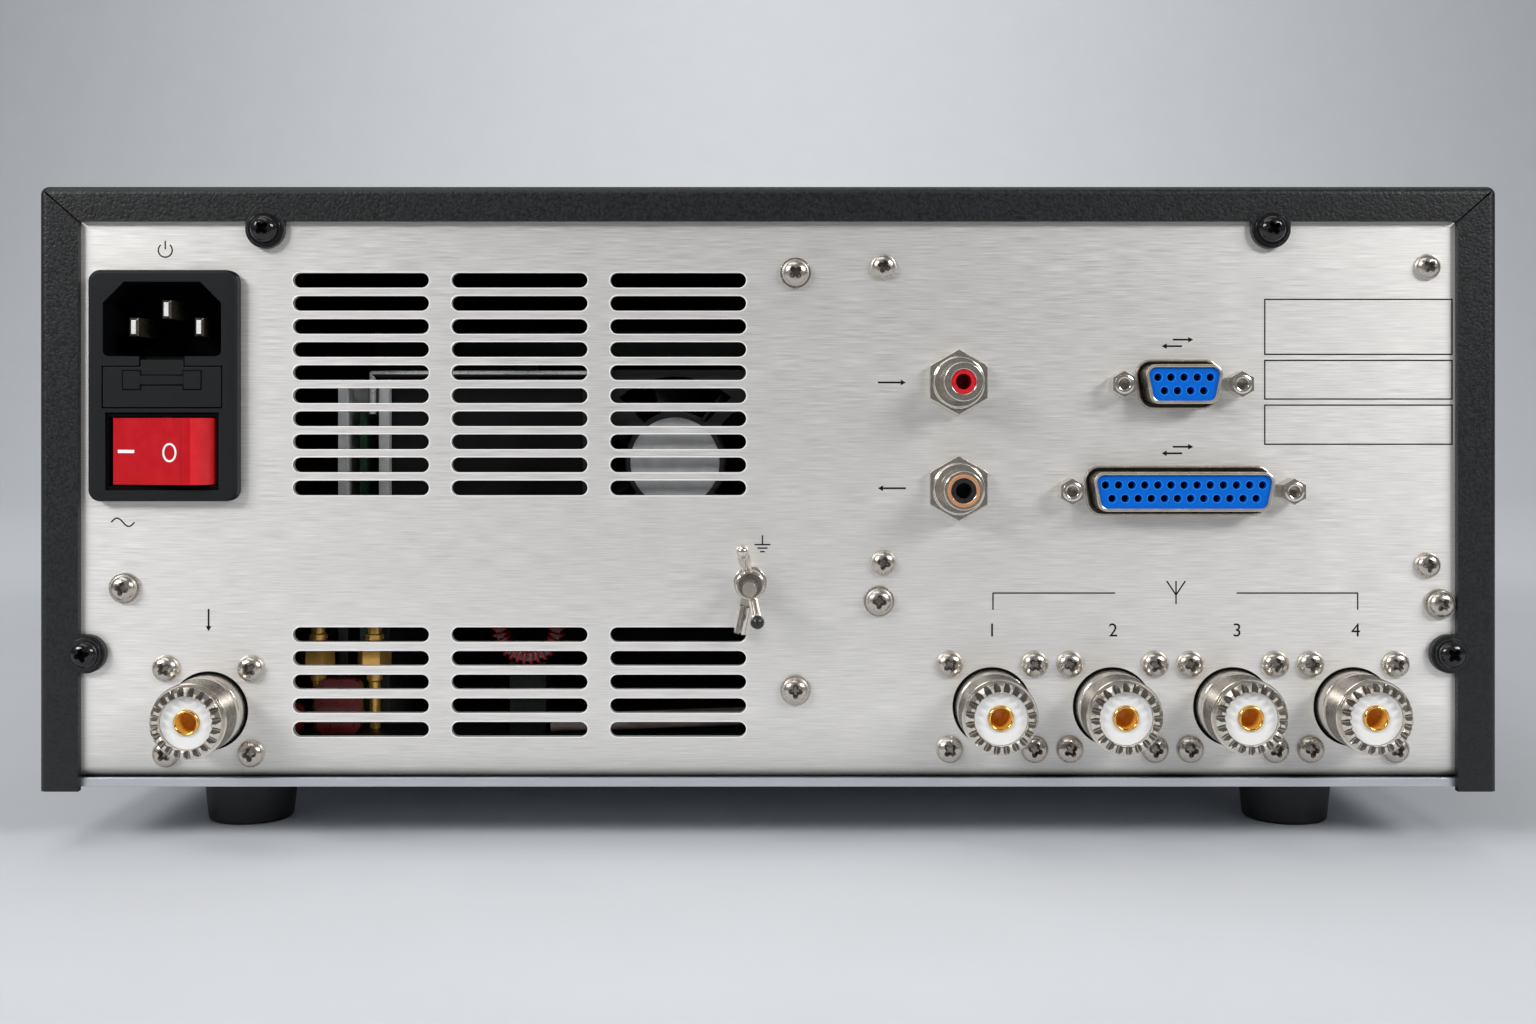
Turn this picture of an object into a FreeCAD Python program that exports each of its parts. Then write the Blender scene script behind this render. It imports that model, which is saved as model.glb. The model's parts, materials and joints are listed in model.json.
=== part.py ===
import FreeCAD, Part
import math
import os

# HF linear amplifier, in millimetres. +X is to the right seen from the rear, +Y runs from the
# rear panel to the front, +Z is up. The origin is under the middle, on the surface it stands on.
# Heights ("_h") are above the underside of the chassis tray. Depths ("_d") are behind the outer
# face of the rear panel; a negative depth stands out of the rear. What belongs to the left or the
# right half keeps its distance from that side of the cover ("_from_left", "_from_right").

V = FreeCAD.Vector

past = 1.0   # how far a cutting solid runs past what it cuts
near = 0.1   # how close an edge lies to a plane that it counts as being on
hexagon_sides = 6

# ---- Enclosure ----
cover_width = 312.0
cover_top_h = 128.8
cover_depth = 300.0
cover_wall = 1.6
cover_drop = 0.7
cover_bend_r = 1.8
flange_top = 7.5
flange_side = 8.5
mitre_gap = 0.35
mitre_skin = 0.3
ear_r = 4.15
ear_top_from_side = 48.4
ear_top_h = 119.6
ear_side_from_side = 10.1
ear_side_h = 28.7
sheet_gap = 0.3

tray_thickness = 2.0
tray_wall_height = 112.0
panel_thickness = 1.6
panel_bend_r = 2.4
panel_foot = 14.0
notch_gap = 0.6

fascia_thickness = 5.0
fascia_edge_r = 1.5

foot_height = 13.4
foot_top_r = 10.9
foot_bottom_r = 9.5
foot_from_side = 36.0
foot_inset = 30.0
foot_well_r = 4.6
foot_well_depth = 7.0

# ---- Slots of the rear panel ----
slot_width = 29.2
slot_height = 3.2
slots_from_left = 68.6
slot_column_pitch = 34.05
slot_columns = 3
upper_slot_top_h = 108.75
upper_slot_pitch = 4.955
upper_slot_rows = 10
lower_slot_top_h = 32.65
lower_slot_pitch = 5.08
lower_slot_rows = 5

# ---- Coax sockets ----
ant_last_from_right = 30.41
ant_pitch = 25.83
ant_count = 4
ant_h = 17.2
rf_in_from_left = 35.9
rf_in_h = 16.3
coax_hole_r = 8.2
coax_barrel_r = 7.94
coax_bore_r = 5.6
coax_reach = 15.5
coax_crown_r = 7.4
coax_crown_length = 2.7
coax_neck_r = 7.5
coax_neck_proud = 0.3
coax_flange = 25.0
coax_flange_thickness = 1.6
coax_body_behind = 5.0
coax_body_r = 7.4
coax_teeth = 20
coax_tooth_depth = 1.3
coax_tooth_gap = 1.0
coax_rim = 0.8
coax_insulator_recess = 1.8
coax_contact_r = 2.65
coax_contact_bore_r = 2.1
coax_contact_depth = 11.0
coax_contact_proud = 0.6
coax_cup_r = 1.5
coax_cup_length = 5.0
coax_screw_square = 18.26

# ---- Screws ----
screw_head_r = 2.95
screw_head_height = 1.9
small_head_r = 2.8
washer_r = 3.3
washer_thickness = 0.7
cover_screw_head_r = 2.95
cover_screw_head_height = 1.9
cover_washer_r = 3.5
cover_washer_thickness = 0.5
screw_shank_r = 1.4
screw_shank_length = 5.0
shank_gap = 0.15
foot_screw_head_r = 3.6
foot_screw_head_height = 2.4
foot_screw_tip = 1.5
washer_screws_from_left = [(161.9, 110.3), (161.9, 20.8), (18.0, 42.7), (179.8, 39.9)]
washer_screws_from_right = [(11.9, 39.3)]
plain_screws_from_left = [(180.8, 111.6), (180.8, 48.1)]
plain_screws_from_right = [(14.5, 111.6), (14.5, 47.6)]

# ---- Mains inlet, fuse drawer and switch, one moulding ----
inlet_from_left = 26.95
inlet_h = 86.1
inlet_width = 31.8
inlet_height = 49.4
inlet_corner_r = 2.5
inlet_proud = 3.0
inlet_rim_r = 0.8
inlet_body_width = 28.6
inlet_body_height = 46.0
inlet_body_depth = 24.0
recess_width = 25.2
recess_height = 15.9
recess_chamfer = 4.5
recess_corner_r = 1.2
recess_depth = 17.0
recess_above_centre = 14.2
blade_width = 2.0
blade_height = 4.0
blade_length = 14.5
blade_root = 5.0
blade_spacing = 14.0
blade_earth_rise = 2.2
blade_pair_drop = 1.6
blade_chamfer = 0.5
drawer_width = 25.2
drawer_height = 8.6
drawer_below_centre = -0.3
drawer_body_depth = 19.0
drawer_front = 3.2
drawer_gap = 0.25
drawer_tab_width = 9.2
drawer_tab_height = 1.5
drawer_tab_recess = 0.5
drawer_tray_inset = 0.5
fuse_r = 2.5
fuse_length = 20.0
fuse_gap = 0.1
fuse_from_end = 3.0
rocker_width = 22.6
rocker_height = 14.2
rocker_below_centre = -14.0
rocker_pivot_d = 1.5
rocker_face_proud = 3.8
rocker_end_step = 0.35
rocker_rest_angle = 9.0
rocker_end_r = 5.4
rocker_keel_half = 4.0
rocker_keel_depth = 4.0
rocker_gap = 0.3
rocker_well_depth = 15.0
bezel_rim = 0.5
bezel_end_rim = 0.9
bezel_depth = 0.6
rocker_pin_r = 1.2
rocker_pin_length = 1.6
rocker_pin_gap = 0.05
rocker_pin_end_gap = 0.1

# ---- Phono jacks ----
jack_from_right = 115.3
key_in_h = 86.8
key_out_h = 64.1
jack_hole_r = 4.1
jack_thread_r = 3.9
jack_shell_r = 4.1
jack_shell_gap = 0.1
jack_reach = 11.8
jack_flange_r = 6.4
jack_flange_thickness = 1.6
jack_bore_r = 2.6
jack_socket_r = 1.65
jack_socket_depth = 8.5
jack_ring_recess = 0.3
nut_flats = 12.3
nut_thickness = 2.6
nut_collar_r = 5.4
nut_collar_height = 1.3
nut_clearance = 0.05

# ---- D-shaped ports ----
port_from_right = 68.0
port_9_h = 86.4
port_25_h = 63.6
port_9_width = 16.9
port_25_width = 38.9
port_height = 8.3
port_slant = 1.45
port_corner_r = 2.1
port_wall = 0.5
port_reach = 6.0
port_hole_gap = 1.2
port_flange_height = 12.5
port_flange_overhang = 3.0
port_flange_thickness = 0.9
port_body_depth = 7.0
port_insert_recess = 0.5
port_block_overhang = 1.0
port_9_screws = 24.99
port_25_screws = 47.04
jackscrew_flats = 4.8
jackscrew_proud = 5.0
jackscrew_bore_r = 1.2
jackscrew_bore_depth = 4.0
jackscrew_shank_r = 1.4
jackscrew_tip = 3.0

# ---- Ground terminal ----
ground_from_left = 152.2
ground_below_fan = 5.8
ground_stud_r = 2.0
ground_stud_proud = 14.0
ground_stud_behind = 6.0
ground_stud_end_r = 1.5
ground_stud_end_length = 8.0
ground_nut_flats = 7.0
ground_nut_height = 3.2
ground_washer_r = 3.6
ground_washer_thickness = 0.8
lug_thickness = 0.9
lug_ring_r = 3.45
lug_strap = 6.0
lug_strap_width = 2.4
lug_barrel_start = 5.0
lug_barrel_end = 10.8
lug_barrel_r = 1.45
lug_barrel_wall = 0.5
lug_slit = 0.4
lug_angle = -101.5
wing_hub_r = 3.25
wing_hub_tip_r = 3.05
wing_hub_height = 3.6
wing_hub_gap = 0.06
wing_hub_mouth_r = 2.5
wing_hub_mouth_depth = 0.9
wing_seat_gap = 0.05
wing_reach = 7.6
wing_rise = 2.8
wing_root = 2.6
wing_root_r = 0.95
wing_neck_r = 1.15
wing_tip_r = 1.4
wing_web = 1.2
wing_web_step = 0.6
wing_rest_angle = 102.0

# ---- Fan behind the slots ----
fan_from_left = 135.8
fan_h = 69.6
fan_size = 40.0
fan_corner_r = 3.0
fan_depth = 20.0
fan_d = 4.0
fan_ring_r = 18.6
fan_hub_r = 11.0
fan_motor_r = 10.6
fan_motor_thickness = 2.0
fan_motor_gap = 0.8
fan_rotor_back_gap = 1.5
fan_tip_gap = 0.6
fan_blades = 7
fan_blade_thickness = 1.0
fan_root_pitch = 50.0
fan_tip_pitch = 32.0
fan_root_chord = 11.0
fan_tip_chord = 14.0
fan_blade_sink = 0.8
fan_strut_width = 2.6
fan_struts = 4
fan_strut_turn = 45.0
fan_strut_sink = 0.5
fan_shaft_r = 1.2
fan_shaft_gap = 0.05
fan_shaft_end_gap = 4.0

# ---- Power supply ----
supply_from_left = 69.8
supply_width = 87.7
supply_bottom_h = 33.0
supply_top_h = 88.0
supply_length = 170.0
supply_wall = 1.2
supply_air_lip = 1.0
supply_leg_d = 45.0
supply_leg_length = 100.0
plate_thickness = 2.4
plate_gap = 6.9
plate_top_h = 85.9
plate_d = 21.5
plate_length = 120.0
driver_board_top_h = 82.0
driver_board_length = 90.0
rod_r = 0.8
rod_h = 89.0
rod_drop = 9.0
rod_d = 20.0
rod_side_gap = 0.3

# ---- Amplifier ----
board_thickness = 1.6
sink_side_gap = 12.5
sink_from_right = 50.0
sink_base = 8.0
sink_fin_height = 30.0
sink_fin_thickness = 2.2
sink_fins = 11
sink_d = 60.0
sink_length = 190.0
amp_board_length = 150.0
amp_board_margin = 4.0
transistor_width = 32.0
transistor_length = 10.0
transistor_height = 4.5
transistor_pitch = 44.0

# ---- Boards behind the panel ----
antenna_board_from_right = 12.0
antenna_board_width = 114.0
antenna_board_height = 34.0
antenna_board_h = 5.0
cup_hole_gap = 0.1
relay_width = 17.0
relay_height = 11.0
relay_depth = 13.0
relay_rise = 5.0
control_board_from_right = 11.5
control_board_width = 112.0
control_board_height = 56.0
control_board_h = 52.0

# ---- Input board, with what shows through the lower slots ----
input_board_from_left = 10.0
input_board_width = 108.0
input_board_h = 8.0
input_board_d = 8.6
input_board_length = 12.6
standoff_r = 2.6
standoff_inset = 5.0
toroid_from_left = 102.8
toroid_h = 32.5
toroid_r = 8.2
toroid_hole_r = 4.4
toroid_width = 7.0
toroid_d = 10.5
toroid_mount_width = 8.0
toroid_mount_inset = 1.0
toroid_mount_wrap = 0.8
brass_from_left = (55.0, 67.7)
brass_d = 16.4
brass_flats = 6.6
brass_hex_height = 4.0
brass_hex_h = 21.2
brass_neck_r = 2.2
brass_collar_r = 3.6
brass_collar_height = 1.2
brass_collar_drop = 2.4
brass_top_h = 33.5
capacitors_from_left = (48.4, 61.4)
capacitor_drops = (5.5, 0.0)
capacitor_d = 10.6
capacitor_width = 9.6
capacitor_height = 12.0
capacitor_thickness = 3.4
capacitor_corner_r = 2.0
harness_wires = 4
harness_wire_r = 1.3
harness_from_left = 108.0
harness_from_right = 120.0
harness_rise = 3.0
harness_gap = 0.3

# ---- Front ----
window_width = 118.0
window_height = 36.0
window_corner_r = 3.0
window_x = -30.0
window_h = 82.0
window_recess = 0.5
window_gap = 0.15
display_depth = 12.0
display_margin = 0.5
key_width = 17.0
key_height = 8.0
key_gap = 0.35
key_proud = 2.5
key_edge = 0.7
key_travel = 1.2
key_count = 4
key_pitch = 26.0
key_h = 36.0
key_stem_r = 1.8
key_stem_length = 4.0
power_key_from_right = 38.0
power_key_size = 15.0
key_board_height = 26.0
key_board_margin = 16.0
key_switch_gap = 0.3
post_inset = 5.0

# ---- Places worked out from the sizes above ----
rear_reach = coax_reach
body_length = cover_depth - cover_wall + fascia_thickness
total_length = rear_reach + body_length + key_proud
face_y = -total_length / 2 + rear_reach
fascia_y = face_y + body_length
tray_front_y = fascia_y - fascia_thickness
left_x, right_x = -cover_width / 2, cover_width / 2
inner_half = cover_width / 2 - cover_wall
inner_top_h = cover_top_h - cover_wall
ant_first_x = right_x - ant_last_from_right - (ant_count - 1) * ant_pitch
ant_xs = [ant_first_x + i * ant_pitch for i in range(ant_count)]
coax_places = [(left_x + rf_in_from_left, rf_in_h)] + [(x, ant_h) for x in ant_xs]
slot_first_x = left_x + slots_from_left
inlet_x = left_x + inlet_from_left
jack_x = right_x - jack_from_right
port_x = right_x - port_from_right
fan_x = left_x + fan_from_left
ground_x = left_x + ground_from_left
ground_h = fan_h - fan_size / 2 - ground_below_fan
power_key_x = right_x - power_key_from_right
slot_places = [
    (slot_first_x + column * slot_column_pitch, top - row * pitch)
    for column in range(slot_columns)
    for top, pitch, rows in (
        (upper_slot_top_h, upper_slot_pitch, upper_slot_rows),
        (lower_slot_top_h, lower_slot_pitch, lower_slot_rows),
    )
    for row in range(rows)
]
washer_screw_places = (
    [(left_x + distance, h) for distance, h in washer_screws_from_left]
    + [(right_x - distance, h) for distance, h in washer_screws_from_right]
)
plain_screw_places = (
    [(left_x + distance, h) for distance, h in plain_screws_from_left]
    + [(right_x - distance, h) for distance, h in plain_screws_from_right]
)
top_ears = [(side * (right_x - ear_top_from_side), ear_top_h) for side in (-1, 1)]
side_ears = [(side * (right_x - ear_side_from_side), ear_side_h) for side in (-1, 1)]
ear_places = top_ears + side_ears
solder_d = panel_thickness + coax_flange_thickness + coax_body_behind
port_board_d = panel_thickness + port_flange_thickness + port_body_depth
supply_d = fan_d + fan_depth
supply_left_x = left_x + supply_from_left
supply_right_x = supply_left_x + supply_width
sink_left_x = supply_right_x + sink_side_gap
sink_right_x = right_x - sink_from_right
key_places = [
    ("band_key_%d" % (i + 1), window_x + (i - (key_count - 1) / 2) * key_pitch, key_width, key_height)
    for i in range(key_count)
] + [("power_key", power_key_x, power_key_size, power_key_size)]

parts = {}


# ---- Helpers ----
def up(height):
    """World Z of a height above the underside of the tray."""
    return foot_height + height


def back(depth):
    """World Y of a depth behind the rear panel's outer face."""
    return face_y + depth


def box(x0, x1, y0, y1, z0, z1):
    return Part.makeBox(x1 - x0, y1 - y0, z1 - z0, V(x0, y0, z0))


def rod_y(x, z, radius, y0, y1):
    """Cylinder along Y."""
    return Part.makeCylinder(radius, y1 - y0, V(x, y0, z), V(0, 1, 0))


def tube_y(x, z, outer_r, inner_r, y0, y1):
    return rod_y(x, z, outer_r, y0, y1).cut(rod_y(x, z, inner_r, y0 - past, y1 + past))


def cone_y(x, z, r0, r1, y0, y1):
    return Part.makeCone(r0, r1, y1 - y0, V(x, y0, z), V(0, 1, 0))


def polygon_face(points):
    return Part.Face(Part.makePolygon(points + [points[0]]))


def hexagon_corners(flats):
    """Corners of a hexagon about its centre, the first on its first axis, from its width across flats."""
    turns = [math.tau * i / hexagon_sides for i in range(hexagon_sides)]
    reach = flats / 2 / math.cos(math.pi / hexagon_sides)
    return [(reach * math.cos(turn), reach * math.sin(turn)) for turn in turns]


def hexagon_y(x, z, flats, y0, y1):
    """Hexagonal prism along Y with one corner pointing up."""
    points = [V(x + aside, y0, z + rise) for rise, aside in hexagon_corners(flats)]
    return polygon_face(points).extrude(V(0, y1 - y0, 0))


def edges_along(shape, axis):
    """Straight edges that run along one axis."""
    found = []
    for edge in shape.Edges:
        if isinstance(edge.Curve, Part.Line):
            direction = edge.Vertexes[1].Point.sub(edge.Vertexes[0].Point).normalize()
            if abs(abs(direction.dot(axis)) - 1) < 1e-6:
                found.append(edge)
    return found


def rounded_plate(x, z, width, height, radius, y0, y1):
    """Rectangular plate across Y, its four corners rounded."""
    plate = box(x - width / 2, x + width / 2, y0, y1, z - height / 2, z + height / 2)
    return plate.makeFillet(radius, edges_along(plate, V(0, 1, 0)))


def join(shapes):
    result = shapes[0]
    if len(shapes) > 1:
        result = result.multiFuse(shapes[1:])
    return result.removeSplitter()


def group(shapes):
    return Part.makeCompound(shapes)


# ---- Enclosure ----
def make_ears(y0, y1):
    """Rounded screw ears that grow out of the inner edges of the rear flange."""
    discs = [rod_y(x, up(h), ear_r, y0, y1) for x, h in ear_places]
    roots = [box(x - ear_r, x + ear_r, y0, y1, up(h), up(inner_top_h)) for x, h in top_ears]
    for x, h in side_ears:
        edge = math.copysign(inner_half, x)
        roots.append(box(min(x, edge), max(x, edge), y0, y1, up(h) - ear_r, up(h) + ear_r))
    return discs + roots


def make_cover():
    half = cover_width / 2
    y0, y1 = back(-cover_wall), back(cover_depth - cover_wall)
    bottom, top = up(-cover_drop), up(cover_top_h)
    outer = box(-half, half, y0, y1, bottom, top)
    bends = [e for e in edges_along(outer, V(0, 1, 0)) if e.CenterOfMass.z > top - near]
    rear = [
        e for axis in (V(1, 0, 0), V(0, 0, 1)) for e in edges_along(outer, axis)
        if e.CenterOfMass.y < y0 + near and e.CenterOfMass.z > bottom + near
    ]
    outer = outer.makeFillet(cover_bend_r, bends + rear)
    hollow = box(-inner_half, inner_half, back(0), y1 + past, bottom - past, up(inner_top_h))
    mouth = box(-half + flange_side, half - flange_side, y0 - past, back(past), bottom - past,
                top - flange_top)
    shell = outer.cut(hollow).cut(mouth)
    shell = join([shell] + make_ears(y0, back(0)))
    slits = []
    for side in (-1, 1):
        corner = V(side * half, y0 - past, top)
        inner = V(side * (half - flange_side), y0 - past, top - flange_top)
        along = inner.sub(corner).normalize()
        across = V(-along.z, 0, along.x).multiply(mitre_gap / 2)
        start, end = corner.add(along * cover_bend_r), inner.add(along)
        slit = polygon_face([start.add(across), end.add(across), end.sub(across), start.sub(across)])
        slits.append(slit.extrude(V(0, past + cover_wall - mitre_skin, 0)))
    holes = [rod_y(x, up(h), screw_shank_r + shank_gap, y0 - past, back(past)) for x, h in ear_places]
    return shell.cut(group(slits)).cut(group(holes))


def make_tray():
    half = inner_half - sheet_gap
    plate = box(-half, half, back(0), tray_front_y, up(0), up(tray_thickness))
    wall = box(-half, half, tray_front_y - tray_thickness, tray_front_y, up(0), up(tray_wall_height))
    tray = plate.fuse(wall).removeSplitter()
    bend = [e for e in edges_along(tray, V(1, 0, 0))
            if e.CenterOfMass.y > tray_front_y - near and e.CenterOfMass.z < up(near)]
    tray = tray.makeFillet(tray_thickness, bend)
    through = (tray_front_y - tray_thickness - past, tray_front_y + past)
    window = box(window_x - window_width / 2, window_x + window_width / 2, *through,
                 up(window_h - window_height / 2), up(window_h + window_height / 2))
    keys = [key_block(place, key_gap, *through) for place in key_places]
    screws = [
        Part.makeCylinder(screw_shank_r + shank_gap, tray_thickness + 2 * past, V(x, y, up(-past)))
        for x, y in foot_places()
    ]
    return tray.cut(group([window] + keys + screws))


def d_outline(x, z, width, grow, y0, y1):
    """D-shaped prism along Y: wide edge up, slanted ends, rounded corners."""
    half_top = width / 2 + grow
    half_bottom = half_top - port_slant
    half_height = port_height / 2 + grow
    points = [
        V(x - half_top, y0, z + half_height), V(x + half_top, y0, z + half_height),
        V(x + half_bottom, y0, z - half_height), V(x - half_bottom, y0, z - half_height),
    ]
    prism = polygon_face(points).extrude(V(0, y1 - y0, 0))
    return prism.makeFillet(port_corner_r + grow, edges_along(prism, V(0, 1, 0)))


def slot_cutter(x, h):
    half = slot_width / 2 - slot_height / 2
    y0, y1 = back(-past), back(panel_thickness + past)
    bar = box(x - half, x + half, y0, y1, up(h) - slot_height / 2, up(h) + slot_height / 2)
    ends = [rod_y(x + s * half, up(h), slot_height / 2, y0, y1) for s in (-1, 1)]
    return join([bar] + ends)


def make_rear_panel():
    half = inner_half - sheet_gap
    z0, z1 = up(tray_thickness), up(inner_top_h - sheet_gap)
    wall = box(-half, half, back(0), back(panel_thickness), z0, z1)
    foot = box(-half, half, back(0), back(panel_foot), z0, z0 + panel_thickness)
    panel = wall.fuse(foot).removeSplitter()
    bend = [e for e in edges_along(panel, V(1, 0, 0))
            if e.CenterOfMass.y < back(near) and e.CenterOfMass.z < z0 + near]
    panel = panel.makeFillet(panel_bend_r, bend)
    through = (back(-past), back(panel_thickness + past))
    cutters = [slot_cutter(x, h) for x, h in slot_places]
    for x, h in coax_places:
        reach = coax_flange / 2 + notch_gap
        cutters.append(rod_y(x, up(h), coax_hole_r, *through))
        cutters.append(box(x - reach, x + reach, back(panel_thickness), back(panel_foot + past),
                           up(0), up(h)))
    cutters.append(box(inlet_x - inlet_body_width / 2, inlet_x + inlet_body_width / 2, *through,
                       up(inlet_h - inlet_body_height / 2), up(inlet_h + inlet_body_height / 2)))
    for width, h, spacing in port_specs():
        cutters.append(d_outline(port_x, up(h), width, port_hole_gap, *through))
        for side in (-1, 1):
            cutters.append(rod_y(port_x + side * spacing / 2, up(h), jackscrew_shank_r + shank_gap, *through))
    for h in (key_in_h, key_out_h):
        cutters.append(rod_y(jack_x, up(h), jack_hole_r, *through))
    cutters.append(rod_y(ground_x, up(ground_h), ground_stud_r + shank_gap, *through))
    for x, h in ear_places:
        cutters.append(rod_y(x, up(h), screw_shank_r + shank_gap, *through))
    return panel.cut(group(cutters))


def port_specs():
    return [(port_9_width, port_9_h, port_9_screws), (port_25_width, port_25_h, port_25_screws)]


def foot_places():
    rear, front = back(foot_inset), tray_front_y - foot_inset
    return [(x, y) for y in (rear, front) for x in (left_x + foot_from_side, right_x - foot_from_side)]


def key_block(place, grow, y0, y1):
    """Block of a key's outline, grown all round by a gap."""
    name, x, width, height = place
    return box(x - width / 2 - grow, x + width / 2 + grow, y0, y1,
               up(key_h) - height / 2 - grow, up(key_h) + height / 2 + grow)


def make_front():
    half = cover_width / 2
    panel = box(-half, half, tray_front_y, fascia_y, up(-cover_drop), up(cover_top_h))
    panel = panel.makeFillet(cover_bend_r, edges_along(panel, V(0, 1, 0)))
    front_edges = [e for e in panel.Edges if abs(e.CenterOfMass.y - fascia_y) < near]
    panel = panel.makeFillet(fascia_edge_r, front_edges)
    through = (tray_front_y - past, fascia_y + past)
    window = rounded_plate(window_x, up(window_h), window_width, window_height, window_corner_r, *through)
    holes = [key_block(place, key_gap, *through) for place in key_places]
    parts["front_panel"] = panel.cut(group([window] + holes))
    parts["display_window"] = rounded_plate(
        window_x, up(window_h), window_width - 2 * window_gap, window_height - 2 * window_gap,
        window_corner_r - window_gap, tray_front_y, fascia_y - window_recess)
    half_width = window_width / 2 - display_margin
    half_height = window_height / 2 - display_margin
    parts["display_module"] = box(
        window_x - half_width, window_x + half_width, tray_front_y - display_depth, tray_front_y,
        up(window_h) - half_height, up(window_h) + half_height)


def make_keys():
    cap_back = tray_front_y - tray_thickness
    stem_end = cap_back - key_stem_length
    front = fascia_y + key_proud
    for place in key_places:
        name, x = place[:2]
        cap = key_block(place, 0, cap_back, front)
        rim = [e for e in cap.Edges if abs(e.CenterOfMass.y - front) < near]
        cap = cap.makeChamfer(key_edge, rim)
        parts[name] = join([cap, rod_y(x, up(key_h), key_stem_r, stem_end, cap_back)])
    board_front = stem_end - key_travel - key_switch_gap
    left = key_places[0][1] - key_board_margin
    right = power_key_x + key_board_margin
    board = box(left, right, board_front - board_thickness, board_front,
                up(key_h - key_board_height / 2), up(key_h + key_board_height / 2))
    posts = [
        rod_y(x, up(key_h + dz), standoff_r, board_front, cap_back)
        for x in (left + post_inset, right - post_inset)
        for dz in (post_inset - key_board_height / 2, key_board_height / 2 - post_inset)
    ]
    parts["key_board"] = join([board] + posts)


def make_feet():
    feet, screws = [], []
    for x, y in foot_places():
        foot = Part.makeCone(foot_bottom_r, foot_top_r, foot_height, V(x, y, 0))
        well = Part.makeCylinder(foot_well_r, foot_well_depth, V(x, y, 0))
        hole = Part.makeCylinder(screw_shank_r + shank_gap, foot_height, V(x, y, 0))
        feet.append(foot.cut(well).cut(hole))
        head = Part.makeCylinder(foot_screw_head_r, foot_screw_head_height,
                                 V(x, y, foot_well_depth - foot_screw_head_height))
        shank_length = foot_height - foot_well_depth + tray_thickness + foot_screw_tip
        shank = Part.makeCylinder(screw_shank_r, shank_length, V(x, y, foot_well_depth))
        screws.append(join([head, shank]))
    parts["rubber_feet"] = group(feet)
    parts["foot_screws"] = group(screws)


# ---- Screws of the rear ----
def pan_screw(x, h, seat_d, head_r, head_height, shank):
    """Head that stands out of the rear at a seat depth, with an optional shank."""
    head = rod_y(x, up(h), head_r, back(seat_d - head_height), back(seat_d))
    if shank > 0:
        head = join([head, rod_y(x, up(h), screw_shank_r, back(seat_d), back(seat_d + shank))])
    return head


def make_screws():
    half = coax_screw_square / 2
    corners = [(sx * half, sz * half) for sx in (-1, 1) for sz in (-1, 1)]
    places = [(x + dx, h + dh) for x, h in coax_places for dx, dh in corners]
    parts["coax_screws"] = group([
        pan_screw(x, h, 0, screw_head_r, screw_head_height, 0) for x, h in places])
    silver = [pan_screw(x, h, -washer_thickness, screw_head_r, screw_head_height, 0)
              for x, h in washer_screw_places]
    silver += [pan_screw(x, h, 0, small_head_r, screw_head_height, 0)
               for x, h in plain_screw_places]
    parts["panel_screws"] = group(silver)
    parts["panel_screw_washers"] = group([
        rod_y(x, up(h), washer_r, back(-washer_thickness), back(0)) for x, h in washer_screw_places])
    seat = -cover_wall - cover_washer_thickness
    parts["cover_screws"] = group([
        pan_screw(x, h, seat, cover_screw_head_r, cover_screw_head_height, screw_shank_length)
        for x, h in ear_places])
    parts["cover_washers"] = group([
        tube_y(x, up(h), cover_washer_r, screw_shank_r + shank_gap, back(seat), back(-cover_wall))
        for x, h in ear_places])


# ---- Coax sockets ----
def make_coax_socket(x, h):
    z = up(h)
    tip, behind = back(-coax_reach), back(panel_thickness + coax_flange_thickness + coax_body_behind)
    flange_y = back(panel_thickness)
    half = coax_flange / 2
    flange = box(x - half, x + half, flange_y, flange_y + coax_flange_thickness, z - half, z + half)
    neck_y = back(-coax_neck_proud)
    crown_y = tip + coax_crown_length
    crown = rod_y(x, z, coax_crown_r, tip, crown_y)
    barrel = rod_y(x, z, coax_barrel_r, crown_y, neck_y)
    neck = rod_y(x, z, coax_neck_r, neck_y, flange_y)
    body = rod_y(x, z, coax_body_r, flange_y + coax_flange_thickness, behind)
    shell = join([flange, crown, barrel, neck, body])
    shell = shell.cut(rod_y(x, z, coax_bore_r, tip - past, behind + past))
    lip_r = coax_crown_r - coax_rim
    chamfer = rod_y(x, z, coax_crown_r + past, tip - past, tip + coax_rim).cut(
        cone_y(x, z, lip_r, coax_crown_r, tip, tip + coax_rim))
    notches = []
    for i in range(coax_teeth):
        notch = box(x + coax_bore_r - past, x + coax_barrel_r + past, tip - past, tip + coax_tooth_depth,
                    z - coax_tooth_gap / 2, z + coax_tooth_gap / 2)
        notch.rotate(V(x, 0, z), V(0, 1, 0), i * 360 / coax_teeth)
        notches.append(notch)
    return shell.cut(chamfer).cut(group(notches))


def make_coax():
    sockets = [make_coax_socket(x, h) for x, h in coax_places]
    parts["rf_input_socket"] = sockets[0]
    parts["antenna_sockets"] = group(sockets[1:])
    insulators, contacts = [], []
    rear = back(solder_d)
    face = back(-coax_reach + coax_insulator_recess)
    contact_face = face - coax_contact_proud
    for x, h in coax_places:
        z = up(h)
        insulators.append(tube_y(x, z, coax_bore_r, coax_contact_r, face, rear))
        contact = rod_y(x, z, coax_contact_r, contact_face, rear)
        contact = contact.cut(rod_y(x, z, coax_contact_bore_r, contact_face - past,
                                    contact_face + coax_contact_depth))
        contacts.append(join([contact, rod_y(x, z, coax_cup_r, rear, rear + coax_cup_length)]))
    parts["coax_insulators"] = group(insulators)
    parts["coax_contacts"] = group(contacts)


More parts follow.
